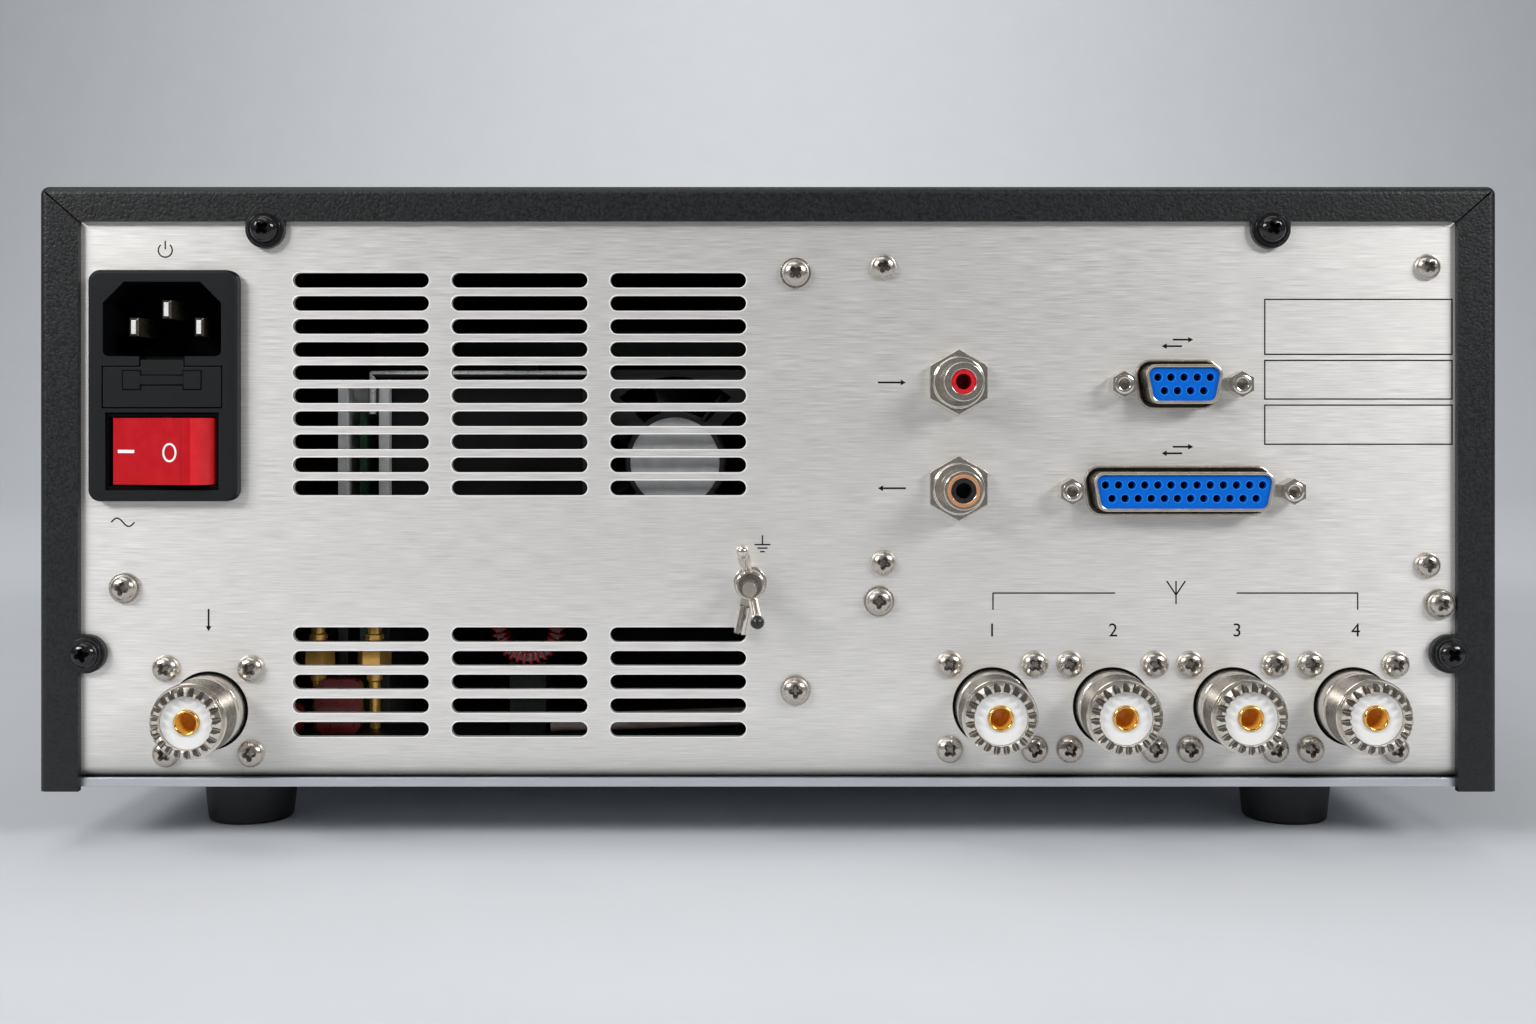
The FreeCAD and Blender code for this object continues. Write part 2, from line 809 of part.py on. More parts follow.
# ---- Mains inlet ----
def recess_cutter(x, h):
    z = up(h)
    half_w, half_h = recess_width / 2, recess_height / 2
    y0, y1 = back(-inlet_proud - past), back(-inlet_proud + recess_depth)
    points = [
        V(x - half_w, y0, z - half_h), V(x + half_w, y0, z - half_h),
        V(x + half_w, y0, z + half_h - recess_chamfer), V(x + half_w - recess_chamfer, y0, z + half_h),
        V(x - half_w + recess_chamfer, y0, z + half_h), V(x - half_w, y0, z + half_h - recess_chamfer),
    ]
    prism = polygon_face(points).extrude(V(0, y1 - y0, 0))
    low = [e for e in edges_along(prism, V(0, 1, 0)) if e.CenterOfMass.z < z]
    return prism.makeFillet(recess_corner_r, low)


def make_inlet():
    front, floor_y = back(-inlet_proud), back(-inlet_proud + recess_depth)
    z = up(inlet_h)
    plate = rounded_plate(inlet_x, z, inlet_width, inlet_height, inlet_corner_r, front, back(0))
    rim = [e for e in plate.Edges if abs(e.CenterOfMass.y - front) < near]
    plate = plate.makeFillet(inlet_rim_r, rim)
    half_w, half_h = inlet_body_width / 2 - drawer_gap, inlet_body_height / 2 - drawer_gap
    body = box(inlet_x - half_w, inlet_x + half_w, back(0), back(inlet_body_depth), z - half_h, z + half_h)
    housing = plate.fuse(body).removeSplitter()
    recess_h = inlet_h + recess_above_centre
    housing = housing.cut(recess_cutter(inlet_x, recess_h))

    drawer_z = up(inlet_h + drawer_below_centre)
    dw, dh = drawer_width / 2, drawer_height / 2
    drawer_end = front + drawer_front + drawer_body_depth
    slot = box(inlet_x - dw - drawer_gap, inlet_x + dw + drawer_gap, front - past, drawer_end + drawer_gap,
               drawer_z - dh - drawer_gap, drawer_z + dh + drawer_gap)
    recess_floor_z = up(recess_h) - recess_height / 2
    finger = box(inlet_x - drawer_tab_width / 2 - drawer_gap, inlet_x + drawer_tab_width / 2 + drawer_gap,
                 front - past, front + drawer_front, drawer_z, recess_floor_z + past)
    housing = housing.cut(slot).cut(finger)

    rocker_z = up(inlet_h + rocker_below_centre)
    pivot_y = back(rocker_pivot_d)
    well_w = rocker_width / 2 + rocker_gap
    well_h = rocker_height / 2 + rocker_gap
    well = box(inlet_x - well_w, inlet_x + well_w, front - past, back(rocker_well_depth),
               rocker_z - well_h, rocker_z + well_h)
    bezel = box(inlet_x - well_w - bezel_rim, inlet_x + well_w + bezel_rim, front - past,
                front + bezel_depth, rocker_z - well_h - bezel_end_rim, rocker_z + well_h + bezel_end_rim)
    pin_half = rocker_height / 2 + rocker_pin_length
    hole_half = pin_half + rocker_pin_end_gap
    pivot_hole = Part.makeCylinder(rocker_pin_r + rocker_pin_gap, 2 * hole_half,
                                   V(inlet_x, pivot_y, rocker_z - hole_half))
    housing = housing.cut(bezel).cut(well).cut(pivot_hole)

    blades = []
    for dx, dz in ((-blade_spacing / 2, -blade_pair_drop), (0, blade_earth_rise),
                   (blade_spacing / 2, -blade_pair_drop)):
        bx, bz = inlet_x + dx, up(recess_h) + dz
        blade = box(bx - blade_width / 2, bx + blade_width / 2, floor_y - blade_length,
                    floor_y + inlet_body_depth - recess_depth + inlet_proud + blade_root,
                    bz - blade_height / 2, bz + blade_height / 2)
        tip = [e for e in blade.Edges if abs(e.CenterOfMass.y - (floor_y - blade_length)) < near]
        blades.append(blade.makeChamfer(blade_chamfer, tip))
    parts["inlet_housing"] = housing.cut(group(blades))
    parts["inlet_blades"] = group(blades)

    face = box(inlet_x - dw, inlet_x + dw, front, front + drawer_front, drawer_z - dh, drawer_z + dh)
    tab = box(inlet_x - drawer_tab_width / 2, inlet_x + drawer_tab_width / 2, front,
              front + drawer_front - drawer_tab_recess, drawer_z, drawer_z + dh + drawer_tab_height)
    tray_w, tray_h = dw - drawer_tray_inset, dh - drawer_tray_inset
    tray = box(inlet_x - tray_w, inlet_x + tray_w, front + drawer_front, drawer_end,
               drawer_z - tray_h, drawer_z + tray_h)
    fuse_y = drawer_end - fuse_from_end - fuse_r
    cradle_w, cradle_l = fuse_length / 2 + fuse_gap, fuse_r + fuse_gap
    cradle = box(inlet_x - cradle_w, inlet_x + cradle_w, fuse_y - cradle_l, fuse_y + cradle_l,
                 drawer_z - fuse_r, drawer_z + dh + past)
    parts["fuse_drawer"] = join([face, tab, tray]).cut(cradle)
    parts["fuse_link"] = Part.makeCylinder(
        fuse_r, fuse_length, V(inlet_x - fuse_length / 2, fuse_y, drawer_z), V(1, 0, 0))
    parts["power_rocker"] = make_rocker(rocker_z, pivot_y)


def make_rocker(z, pivot_y):
    """Rocker with a flat marked face on the left and a raised round end on the right."""
    half_w, half_h = rocker_width / 2, rocker_height / 2
    top_y = back(-rocker_face_proud)
    keel_y = pivot_y + rocker_keel_depth
    left, right = inlet_x - half_w, inlet_x + half_w
    shoulder = right - rocker_end_r
    end_y = top_y - rocker_end_step
    turn = math.sin(math.pi / 4)
    corners = [
        V(right, end_y + rocker_end_r, 0), V(right, pivot_y, 0), V(inlet_x + rocker_keel_half, keel_y, 0),
        V(inlet_x - rocker_keel_half, keel_y, 0), V(left, pivot_y, 0), V(left, top_y, 0),
        V(shoulder, top_y, 0), V(shoulder, end_y, 0),
    ]
    middle = V(shoulder + rocker_end_r * turn, end_y + rocker_end_r * (1 - turn), 0)
    edges = [Part.LineSegment(a, b).toShape() for a, b in zip(corners, corners[1:]) if a != b]
    edges.append(Part.Arc(corners[-1], middle, corners[0]).toShape())
    body = Part.Face(Part.Wire(edges)).extrude(V(0, 0, rocker_height))
    body.translate(V(0, 0, z - half_h))
    swing = Part.makeCylinder(half_w, rocker_height + 2 * past, V(inlet_x, pivot_y, z - half_h - past))
    body = body.common(swing)
    body.rotate(V(inlet_x, pivot_y, z), V(0, 0, 1), -rocker_rest_angle)
    pin_half = half_h + rocker_pin_length
    pin = Part.makeCylinder(rocker_pin_r, 2 * pin_half, V(inlet_x, pivot_y, z - pin_half))
    return join([body, pin])


# ---- Phono jacks ----
def make_jacks():
    nuts = []
    specs = (("key_in", key_in_h), ("key_out", key_out_h))
    flange_y = back(panel_thickness)
    for name, h in specs:
        z = up(h)
        tip = back(-jack_reach)
        end = back(port_board_d)
        collar_y = back(-nut_thickness - nut_collar_height)
        shell = join([
            rod_y(jack_x, z, jack_shell_r, tip, collar_y - jack_shell_gap),
            rod_y(jack_x, z, jack_thread_r, collar_y - jack_shell_gap, end),
            rod_y(jack_x, z, jack_flange_r, flange_y, flange_y + jack_flange_thickness),
        ])
        parts[name + "_jack"] = shell.cut(rod_y(jack_x, z, jack_bore_r, tip - past, end + past))
        insulator = rod_y(jack_x, z, jack_bore_r, tip + jack_ring_recess, end)
        parts[name + "_insulator"] = insulator.cut(
            rod_y(jack_x, z, jack_socket_r, tip - past, tip + jack_ring_recess + jack_socket_depth))
        nut = join([
            hexagon_y(jack_x, z, nut_flats, back(-nut_thickness), back(0)),
            rod_y(jack_x, z, nut_collar_r, collar_y, back(-nut_thickness)),
        ])
        nuts.append(nut.cut(rod_y(jack_x, z, jack_thread_r + nut_clearance, collar_y - past, back(past))))
    parts["jack_nuts"] = group(nuts)


# ---- D-shaped ports ----
def make_ports():
    screws = []
    flange_y = back(panel_thickness)
    for name, (width, h, spacing) in zip(("port_9", "port_25"), port_specs()):
        z = up(h)
        tip = back(-port_reach)
        skirt = d_outline(port_x, z, width, 0, tip, flange_y)
        half = spacing / 2 + port_flange_overhang
        flange = box(port_x - half, port_x + half, flange_y, flange_y + port_flange_thickness,
                     z - port_flange_height / 2, z + port_flange_height / 2)
        shell = join([skirt, flange])
        flange_end = flange_y + port_flange_thickness
        shell = shell.cut(d_outline(port_x, z, width, -port_wall, tip - past, flange_end + past))
        body_end = back(port_board_d)
        insert = d_outline(port_x, z, width, -port_wall, tip + port_insert_recess, flange_end)
        block_half = width / 2 + port_block_overhang
        back_block = box(port_x - block_half, port_x + block_half, flange_end, body_end,
                         z - port_height / 2, z + port_height / 2)
        parts[name + "_insert"] = join([insert, back_block])
        holes = []
        for side in (-1, 1):
            x = port_x + side * spacing / 2
            holes.append(rod_y(x, z, jackscrew_shank_r + shank_gap, flange_y - past, flange_end + past))
            head = hexagon_y(x, z, jackscrew_flats, back(-jackscrew_proud), back(0))
            head = head.cut(rod_y(x, z, jackscrew_bore_r, back(-jackscrew_proud - past),
                                  back(-jackscrew_proud + jackscrew_bore_depth)))
            shank = rod_y(x, z, jackscrew_shank_r, back(0), flange_end + jackscrew_tip)
            screws.append(join([head, shank]))
        parts[name + "_shell"] = shell.cut(group(holes))
    parts["jackscrews"] = group(screws)


# ---- Ground terminal ----
def make_ground():
    x, z = ground_x, up(ground_h)
    tip = back(-ground_stud_proud)
    end_y = tip + ground_stud_end_length
    parts["ground_stud"] = join([
        rod_y(x, z, ground_stud_end_r, tip, end_y),
        rod_y(x, z, ground_stud_r, end_y, back(panel_thickness + ground_stud_behind)),
        hexagon_y(x, z, ground_nut_flats, back(panel_thickness), back(panel_thickness + ground_nut_height)),
    ])
    washer_y = back(-ground_washer_thickness)
    parts["ground_washer"] = tube_y(x, z, ground_washer_r, ground_stud_r + shank_gap, washer_y, back(0))
    lug_y = washer_y - lug_thickness
    parts["ring_lug"] = make_lug(x, z, lug_y, washer_y)
    parts["wing_nut"] = make_wing_nut(x, z, lug_y - wing_seat_gap)


def make_lug(x, z, y0, y1):
    """Ring terminal lying flat, with an empty open crimp barrel at the end of its strap."""
    ring = rod_y(x, z, lug_ring_r, y0, y1)
    strap = box(x, x + lug_strap, y0, y1, z - lug_strap_width / 2, z + lug_strap_width / 2)
    axis_y = y1 - lug_barrel_r
    start, length = V(x + lug_barrel_start, axis_y, z), lug_barrel_end - lug_barrel_start
    barrel = Part.makeCylinder(lug_barrel_r, length, start, V(1, 0, 0))
    bore = Part.makeCylinder(lug_barrel_r - lug_barrel_wall, length + past, start, V(1, 0, 0))
    slit = box(start.x - past, start.x + length + past, axis_y - lug_barrel_r - past, axis_y,
               z - lug_slit / 2, z + lug_slit / 2)
    lug = join([ring, strap, barrel]).cut(bore).cut(slit)
    lug = lug.cut(rod_y(x, z, ground_stud_r + shank_gap, y0 - past, y1 + past))
    lug.rotate(V(x, 0, z), V(0, 1, 0), -lug_angle)
    return lug


def make_wing_nut(x, z, y1):
    """Round hub with a turned mouth; each wing is a web with a thick round edge and a ball end."""
    y0 = y1 - wing_hub_height
    root, tip = V(x + wing_root, y0 + wing_neck_r, z), V(x + wing_reach, y0 - wing_rise, z)
    edge = tip.sub(root)
    web = polygon_face([root, tip, V(root.x, y1 - wing_web_step, z)]).extrude(V(0, 0, wing_web))
    web.translate(V(0, 0, -wing_web / 2))
    wing = join([Part.makeCone(wing_root_r, wing_neck_r, edge.Length, root, edge),
                 Part.makeSphere(wing_tip_r, tip), web])
    other_wing = wing.copy()
    other_wing.rotate(V(x, 0, z), V(0, 1, 0), 180)
    nut = join([cone_y(x, z, wing_hub_tip_r, wing_hub_r, y0, y1), wing, other_wing])
    nut = nut.cut(rod_y(x, z, ground_stud_r + wing_hub_gap, y0 - wing_rise, y1 + past))
    nut = nut.cut(rod_y(x, z, wing_hub_mouth_r, y0 - wing_rise, y0 + wing_hub_mouth_depth))
    nut.rotate(V(x, 0, z), V(0, 1, 0), -wing_rest_angle)
    return nut


# ---- Fan ----
def blade_section(radius, pitch, chord, thickness):
    """Four-sided section of a blade, square to the blade's length, at a radius above the axis."""
    angle = math.radians(pitch)
    along = V(math.cos(angle), math.sin(angle), 0) * (chord / 2)
    across = V(-math.sin(angle), math.cos(angle), 0) * (thickness / 2)
    centre = V(0, 0, radius)
    corners = [centre - along - across, centre + along - across, centre + along + across,
               centre - along + across]
    return Part.makePolygon(corners + [corners[0]])


def make_fan():
    x, z = fan_x, up(fan_h)
    y0, y1 = back(fan_d), back(fan_d + fan_depth)
    frame = rounded_plate(x, z, fan_size, fan_size, fan_corner_r, y0, y1)
    frame = frame.cut(rod_y(x, z, fan_ring_r, y0 - past, y1 + past))
    motor_y = y0 + fan_motor_thickness
    motor = rod_y(x, z, fan_motor_r, y0, motor_y)
    struts = []
    for i in range(fan_struts):
        strut = box(x + fan_motor_r - fan_strut_sink, x + fan_ring_r + fan_strut_sink, y0, motor_y,
                    z - fan_strut_width / 2, z + fan_strut_width / 2)
        strut.rotate(V(x, 0, z), V(0, 1, 0), fan_strut_turn + 360 * i / fan_struts)
        struts.append(strut)
    shaft_end = y1 - fan_shaft_end_gap
    shaft = rod_y(x, z, fan_shaft_r, motor_y, shaft_end)
    parts["fan_frame"] = join([frame, motor, shaft] + struts)

    hub_y0, hub_y1 = motor_y + fan_motor_gap, y1 - fan_rotor_back_gap
    hub = rod_y(x, z, fan_hub_r, hub_y0, hub_y1)
    tip_r = fan_ring_r - fan_tip_gap
    blades = []
    for i in range(fan_blades):
        root = blade_section(fan_hub_r - fan_blade_sink, fan_root_pitch, fan_root_chord, fan_blade_thickness)
        tip = blade_section(tip_r + past, fan_tip_pitch, fan_tip_chord, fan_blade_thickness)
        blade = Part.makeLoft([root, tip], True, True)
        blade.rotate(V(0, 0, 0), V(0, 1, 0), i * 360 / fan_blades)
        blade.translate(V(x, (hub_y0 + hub_y1) / 2, z))
        blades.append(blade.common(rod_y(x, z, tip_r, hub_y0, hub_y1)))
    rotor = join([hub] + blades)
    parts["fan_rotor"] = rotor.cut(rod_y(x, z, fan_shaft_r + fan_shaft_gap, hub_y0 - past,
                                         shaft_end + fan_motor_gap))


# ---- Power supply ----
def make_supply():
    left, right = supply_left_x, supply_right_x
    y0, y1 = back(supply_d), back(supply_d + supply_length)
    floor = up(tray_thickness)
    bottom, top = up(supply_bottom_h), up(supply_top_h)
    case = box(left, right, y0, y1, bottom, top)
    case = case.cut(box(left + supply_wall, right - supply_wall, y0 + supply_wall, y1 - supply_wall,
                        bottom + supply_wall, top - supply_wall))
    air_hole = rod_y(fan_x, up(fan_h), fan_ring_r - supply_air_lip, y0 - past, y0 + supply_wall + past)
    leg = box(right - plate_thickness, right, back(supply_leg_d), back(supply_leg_d + supply_leg_length),
              floor, bottom)
    parts["power_supply_case"] = join([case.cut(air_hole), leg])

    plate_xs = [left - plate_thickness, left - 2 * plate_thickness - plate_gap]
    plate_y0, plate_y1 = back(plate_d), back(plate_d + plate_length)
    parts["supply_plates"] = group([
        box(x, x + plate_thickness, plate_y0, plate_y1, floor, up(plate_top_h)) for x in plate_xs])
    board_x = left - plate_thickness - (plate_gap + board_thickness) / 2
    parts["driver_board"] = box(board_x, board_x + board_thickness, plate_y0, plate_y0 + driver_board_length,
                                floor, up(driver_board_top_h))

    leg_x = left - plate_thickness - rod_side_gap - rod_r
    end_x = fan_x - fan_size / 2 - rod_side_gap
    y, z = back(rod_d), up(rod_h)
    bar = Part.makeCylinder(rod_r, end_x - leg_x, V(leg_x, y, z), V(1, 0, 0))
    knee = Part.makeSphere(rod_r, V(leg_x, y, z))
    leg = Part.makeCylinder(rod_r, rod_drop, V(leg_x, y, z - rod_drop))
    parts["supply_rod"] = join([bar, knee, leg])


# ---- Amplifier ----
def make_amplifier():
    left, right = sink_left_x, sink_right_x
    y0, y1 = back(sink_d), back(sink_d + sink_length)
    floor = up(tray_thickness)
    base_z = floor + sink_fin_height
    pitch = (right - left - sink_fin_thickness) / (sink_fins - 1)
    fins = [box(left + i * pitch, left + i * pitch + sink_fin_thickness, y0, y1, floor, base_z)
            for i in range(sink_fins)]
    top = base_z + sink_base
    parts["heat_sink"] = join([box(left, right, y0, y1, base_z, top)] + fins)
    middle_x, middle_y = (left + right) / 2, (y0 + y1) / 2
    board_top = top + board_thickness
    parts["amplifier_board"] = box(left + amp_board_margin, right - amp_board_margin,
                                   middle_y - amp_board_length / 2, middle_y + amp_board_length / 2,
                                   top, board_top)
    half_w, half_l = transistor_width / 2, transistor_length / 2
    centres = [middle_y + side * transistor_pitch / 2 for side in (-1, 1)]
    parts["power_transistors"] = group([
        box(middle_x - half_w, middle_x + half_w, y - half_l, y + half_l, board_top,
            board_top + transistor_height) for y in centres])


# ---- Boards behind the panel ----
def make_panel_boards():
    y0 = back(solder_d)
    y1 = y0 + board_thickness
    board_right = right_x - antenna_board_from_right
    board = box(board_right - antenna_board_width, board_right, y0, y1,
                up(antenna_board_h), up(antenna_board_h + antenna_board_height))
    holes = [rod_y(x, up(ant_h), coax_cup_r + cup_hole_gap, y0 - past, y1 + past) for x in ant_xs]
    parts["antenna_board"] = board.cut(group(holes))
    relay_z = up(ant_h + relay_rise)
    parts["antenna_relays"] = group([
        box(x - relay_width / 2, x + relay_width / 2, y1, y1 + relay_depth, relay_z, relay_z + relay_height)
        for x in ant_xs])
    port_y = back(port_board_d)
    control_right = right_x - control_board_from_right
    parts["control_board"] = box(
        control_right - control_board_width, control_right, port_y, port_y + board_thickness,
        up(control_board_h), up(control_board_h + control_board_height))


def make_input_board():
    floor = up(tray_thickness)
    bottom = up(input_board_h)
    top = bottom + board_thickness
    left = left_x + input_board_from_left
    right = left + input_board_width
    y0, y1 = back(input_board_d), back(input_board_d + input_board_length)
    board = box(left, right, y0, y1, bottom, top)
    posts = [Part.makeCylinder(standoff_r, bottom - floor, V(x, y1 - standoff_r, floor))
             for x in (left + standoff_inset, right - standoff_inset)]
    toroid_x = left_x + toroid_from_left
    toroid_y = back(toroid_d)
    mount = box(toroid_x - toroid_mount_width / 2, toroid_x + toroid_mount_width / 2,
                toroid_y + toroid_mount_inset, toroid_y + toroid_width - toroid_mount_inset,
                top, up(toroid_h) - toroid_r + toroid_mount_wrap)
    ring = tube_y(toroid_x, up(toroid_h), toroid_r, toroid_hole_r, toroid_y, toroid_y + toroid_width)
    parts["toroid"] = ring
    parts["input_board"] = join([board, mount] + posts).cut(
        rod_y(toroid_x, up(toroid_h), toroid_r, toroid_y, toroid_y + toroid_width))

    connectors = []
    for distance in brass_from_left:
        x = left_x + distance
        base = V(x, back(brass_d), top)
        hex_z = up(brass_hex_h)
        ring_points = [V(x + across, base.y + along, hex_z) for across, along in hexagon_corners(brass_flats)]
        connectors.append(join([
            Part.makeCylinder(brass_neck_r, up(brass_top_h) - top, base),
            Part.makeCylinder(brass_collar_r, brass_collar_height, V(x, base.y, hex_z - brass_collar_drop)),
            polygon_face(ring_points).extrude(V(0, 0, brass_hex_height)),
        ]))
    parts["brass_connectors"] = group(connectors)

    capacitors = []
    half_w, half_t = capacitor_width / 2, capacitor_thickness / 2
    for distance, drop in zip(capacitors_from_left, capacitor_drops):
        x = left_x + distance
        block = box(x - half_w, x + half_w, back(capacitor_d - half_t), back(capacitor_d + half_t),
                    top, top + capacitor_height - drop)
        capacitors.append(block.makeFillet(capacitor_corner_r, edges_along(block, V(0, 1, 0))))
    parts["dipped_capacitors"] = group(capacitors)

    wires = []
    start_z = top + harness_wire_r
    harness_x = left_x + harness_from_left
    direction = V(right_x - harness_from_right - harness_x, 0, harness_rise)
    first_y = back(solder_d) + board_thickness + harness_gap + harness_wire_r
    for i in range(harness_wires):
        start = V(harness_x, first_y + i * 2 * harness_wire_r, start_z)
        wires.append(Part.makeCylinder(harness_wire_r, direction.Length, start, direction))
    parts["wire_harness"] = group(wires)


def main():
    parts["cover"] = make_cover()
    parts["rear_panel"] = make_rear_panel()
    parts["chassis_tray"] = make_tray()
    make_front()
    make_keys()
    make_feet()
    make_screws()
    make_coax()
    make_inlet()
    make_jacks()
    make_ports()
    make_ground()
    make_fan()
    make_supply()
    make_amplifier()
    make_panel_boards()
    make_input_board()
    os.makedirs("parts", exist_ok=True)
    for name, shape in parts.items():
        shape.exportStep("parts/%s.step" % name)
    print(len(parts), "nodes")


main()
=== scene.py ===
import json
import math
import random

import bmesh
import bpy
from mathutils import Matrix, Vector


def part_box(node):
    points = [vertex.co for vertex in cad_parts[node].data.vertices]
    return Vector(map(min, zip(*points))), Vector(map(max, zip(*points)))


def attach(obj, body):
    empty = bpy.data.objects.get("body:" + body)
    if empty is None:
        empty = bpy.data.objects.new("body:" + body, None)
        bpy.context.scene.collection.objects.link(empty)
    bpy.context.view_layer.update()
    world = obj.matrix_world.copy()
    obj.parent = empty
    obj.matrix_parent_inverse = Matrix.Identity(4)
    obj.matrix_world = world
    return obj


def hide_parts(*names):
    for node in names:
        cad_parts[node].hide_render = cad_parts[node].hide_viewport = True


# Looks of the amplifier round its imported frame. Lengths are in millimetres unless a comment says
# metres, and MM turns them into metres. "out" is a distance that stands out of the rear panel's face.
MM = 0.001
ROOT = "chassis"

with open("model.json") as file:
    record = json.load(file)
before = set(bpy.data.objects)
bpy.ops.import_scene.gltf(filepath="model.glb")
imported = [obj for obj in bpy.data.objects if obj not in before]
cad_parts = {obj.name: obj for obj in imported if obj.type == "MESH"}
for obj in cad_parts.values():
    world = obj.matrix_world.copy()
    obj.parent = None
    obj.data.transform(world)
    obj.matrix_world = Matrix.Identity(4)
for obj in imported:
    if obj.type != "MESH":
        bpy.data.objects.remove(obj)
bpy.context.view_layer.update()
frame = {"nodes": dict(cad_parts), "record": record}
nodes = frame["nodes"]
mounts = {m["name"]: Vector(m["pos_m"]) for m in frame["record"]["mounts"]}

FACE_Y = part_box("rear_panel")[0].y
ANTENNAS = ["antenna_1", "antenna_2", "antenna_3", "antenna_4"]
COAX_AXES = [mounts[name + "_barrel"] for name in ["rf_input"] + ANTENNAS]


def on_face(point, out=0.0):
    """The same x and z as a point, at a distance out of the rear panel's face."""
    return Vector((point.x, FACE_Y - out * MM, point.z))


def link(thing):
    bpy.context.scene.collection.objects.link(thing)


# ---- Finishes ----
GRAIN_RANGE = (0.3, 0.7)
SMOOTHEST = 0.02
# Greys that multiply a colour, each after its place from 0 to 1 along a factor.
CLOUD_SCALE = (9, 40, 90)
CLOUD_TONES = ((0.35, 0.96), (0.65, 1.0))
# Greys of painted shade that darken the rear panel towards its fold, by height in millimetres.
FOLD_SHADE_Z = (15.4, 30.0)
FOLD_SHADE_TONES = ((0.0, 0.10), (0.07, 0.34), (0.17, 0.74), (0.35, 0.88), (1.0, 1.0))
# Greys of painted shade that darken the supply's case and plates towards the floor, by height in
# millimetres.
SUPPLY_SHADE_Z = (52.0, 72.0)
SUPPLY_SHADE_TONES = ((0.0, 0.06), (0.6, 0.5), (1.0, 1.0))


def object_noise(tree, scale, detail):
    """Noise in the object's own coordinates, at a scale for each axis."""
    where = tree.nodes.new("ShaderNodeTexCoord")
    mapping = tree.nodes.new("ShaderNodeMapping")
    mapping.inputs["Scale"].default_value = scale
    noise = tree.nodes.new("ShaderNodeTexNoise")
    noise.inputs["Scale"].default_value = 1.0
    noise.inputs["Detail"].default_value = detail
    tree.links.new(where.outputs["Object"], mapping.inputs["Vector"])
    tree.links.new(mapping.outputs["Vector"], noise.inputs["Vector"])
    return noise.outputs["Fac"]


def share_along(tree, axis, span):
    """Map Range node that turns a span of the object's axis, in metres, into 0 to 1."""
    where = tree.nodes.new("ShaderNodeTexCoord")
    parted = tree.nodes.new("ShaderNodeSeparateXYZ")
    share = tree.nodes.new("ShaderNodeMapRange")
    share.inputs["From Min"].default_value, share.inputs["From Max"].default_value = span
    tree.links.new(where.outputs["Object"], parted.inputs["Vector"])
    tree.links.new(parted.outputs[axis], share.inputs["Value"])
    return share


def colour_ramp(tree, factor, stops):
    """Colours along a factor, from stops of a place and a colour in rising order."""
    ramp = tree.nodes.new("ShaderNodeValToRGB")
    elements = ramp.color_ramp.elements
    for element, (place, colour) in zip(elements, (stops[0], stops[-1])):
        element.position = place
        element.color = (*colour, 1)
    for place, colour in stops[1:-1]:
        elements.new(place).color = (*colour, 1)
    tree.links.new(factor, ramp.inputs["Fac"])
    return ramp.outputs["Color"]


def tone_by(material, factor, tones):
    """Multiplies a finish's colour by greys along a factor."""
    tree = material.node_tree
    base_colour = tree.nodes["Principled BSDF"].inputs["Base Color"]
    greys = [(place, (tone,) * 3) for place, tone in tones]
    shade = tree.nodes.new("ShaderNodeMix")
    shade.data_type = "RGBA"
    shade.blend_type = "MULTIPLY"
    shade.inputs["Factor"].default_value = 1.0
    tree.links.new(base_colour.links[0].from_socket, shade.inputs["A"])
    tree.links.new(colour_ramp(tree, factor, greys), shade.inputs["B"])
    tree.links.new(shade.outputs["Result"], base_colour)


def tone_along(material, axis, span, tones):
    """Multiplies a finish's colour by greys along a span of the object's axis."""
    share = share_along(material.node_tree, axis, [end * MM for end in span])
    tone_by(material, share.outputs["Result"], tones)


def surface(name, colour, roughness, metallic=0.0, mottle=0.06, size=1.0, stretch=(1, 1, 1),
            relief=0.0, uneven=0.05, detail=3.0, coat=0.0, specular=0.5):
    """Procedural finish. Noise of a grain size in millimetres varies colour, roughness and relief."""
    material = bpy.data.materials.new(name)
    material.use_nodes = True
    tree = material.node_tree
    shader = tree.nodes["Principled BSDF"]
    grain = object_noise(tree, [s / (size * MM) for s in stretch], detail)
    low, high = GRAIN_RANGE
    stops = ((low, [c * (1 - mottle) for c in colour]), (high, [min(1, c * (1 + mottle)) for c in colour]))
    tree.links.new(colour_ramp(tree, grain, stops), shader.inputs["Base Color"])

    rough = tree.nodes.new("ShaderNodeMapRange")
    rough.inputs["From Min"].default_value = low
    rough.inputs["From Max"].default_value = high
    rough.inputs["To Min"].default_value = max(SMOOTHEST, roughness - uneven)
    rough.inputs["To Max"].default_value = min(1.0, roughness + uneven)
    tree.links.new(grain, rough.inputs["Value"])
    tree.links.new(rough.outputs["Result"], shader.inputs["Roughness"])

    if relief:
        bump = tree.nodes.new("ShaderNodeBump")
        bump.inputs["Distance"].default_value = relief * MM
        tree.links.new(grain, bump.inputs["Height"])
        tree.links.new(bump.outputs["Normal"], shader.inputs["Normal"])
    shader.inputs["Metallic"].default_value = metallic
    shader.inputs["Coat Weight"].default_value = coat
    shader.inputs["Specular IOR Level"].default_value = specular
    return material


def brushed_sheet():
    """Bright sheet brushed along its width: long fine streaks over a broad soft mottle."""
    material = surface("brushed_sheet", (0.87, 0.85, 0.822), 0.42, metallic=0.7, mottle=0.10,
                       size=0.22, stretch=(0.03, 1, 1), relief=0.003, uneven=0.06)
    tree = material.node_tree
    tone_by(material, object_noise(tree, CLOUD_SCALE, 4.0), CLOUD_TONES)
    # Painted shade: the sheet darkens towards the fold at its foot, standing in for the dark floor that the
    # fold reflects.
    tone_along(material, "Z", FOLD_SHADE_Z, FOLD_SHADE_TONES)
    shader = tree.nodes["Principled BSDF"]
    shader.inputs["Anisotropic"].default_value = 0.5
    shader.inputs["Anisotropic Rotation"].default_value = 0.25
    return material


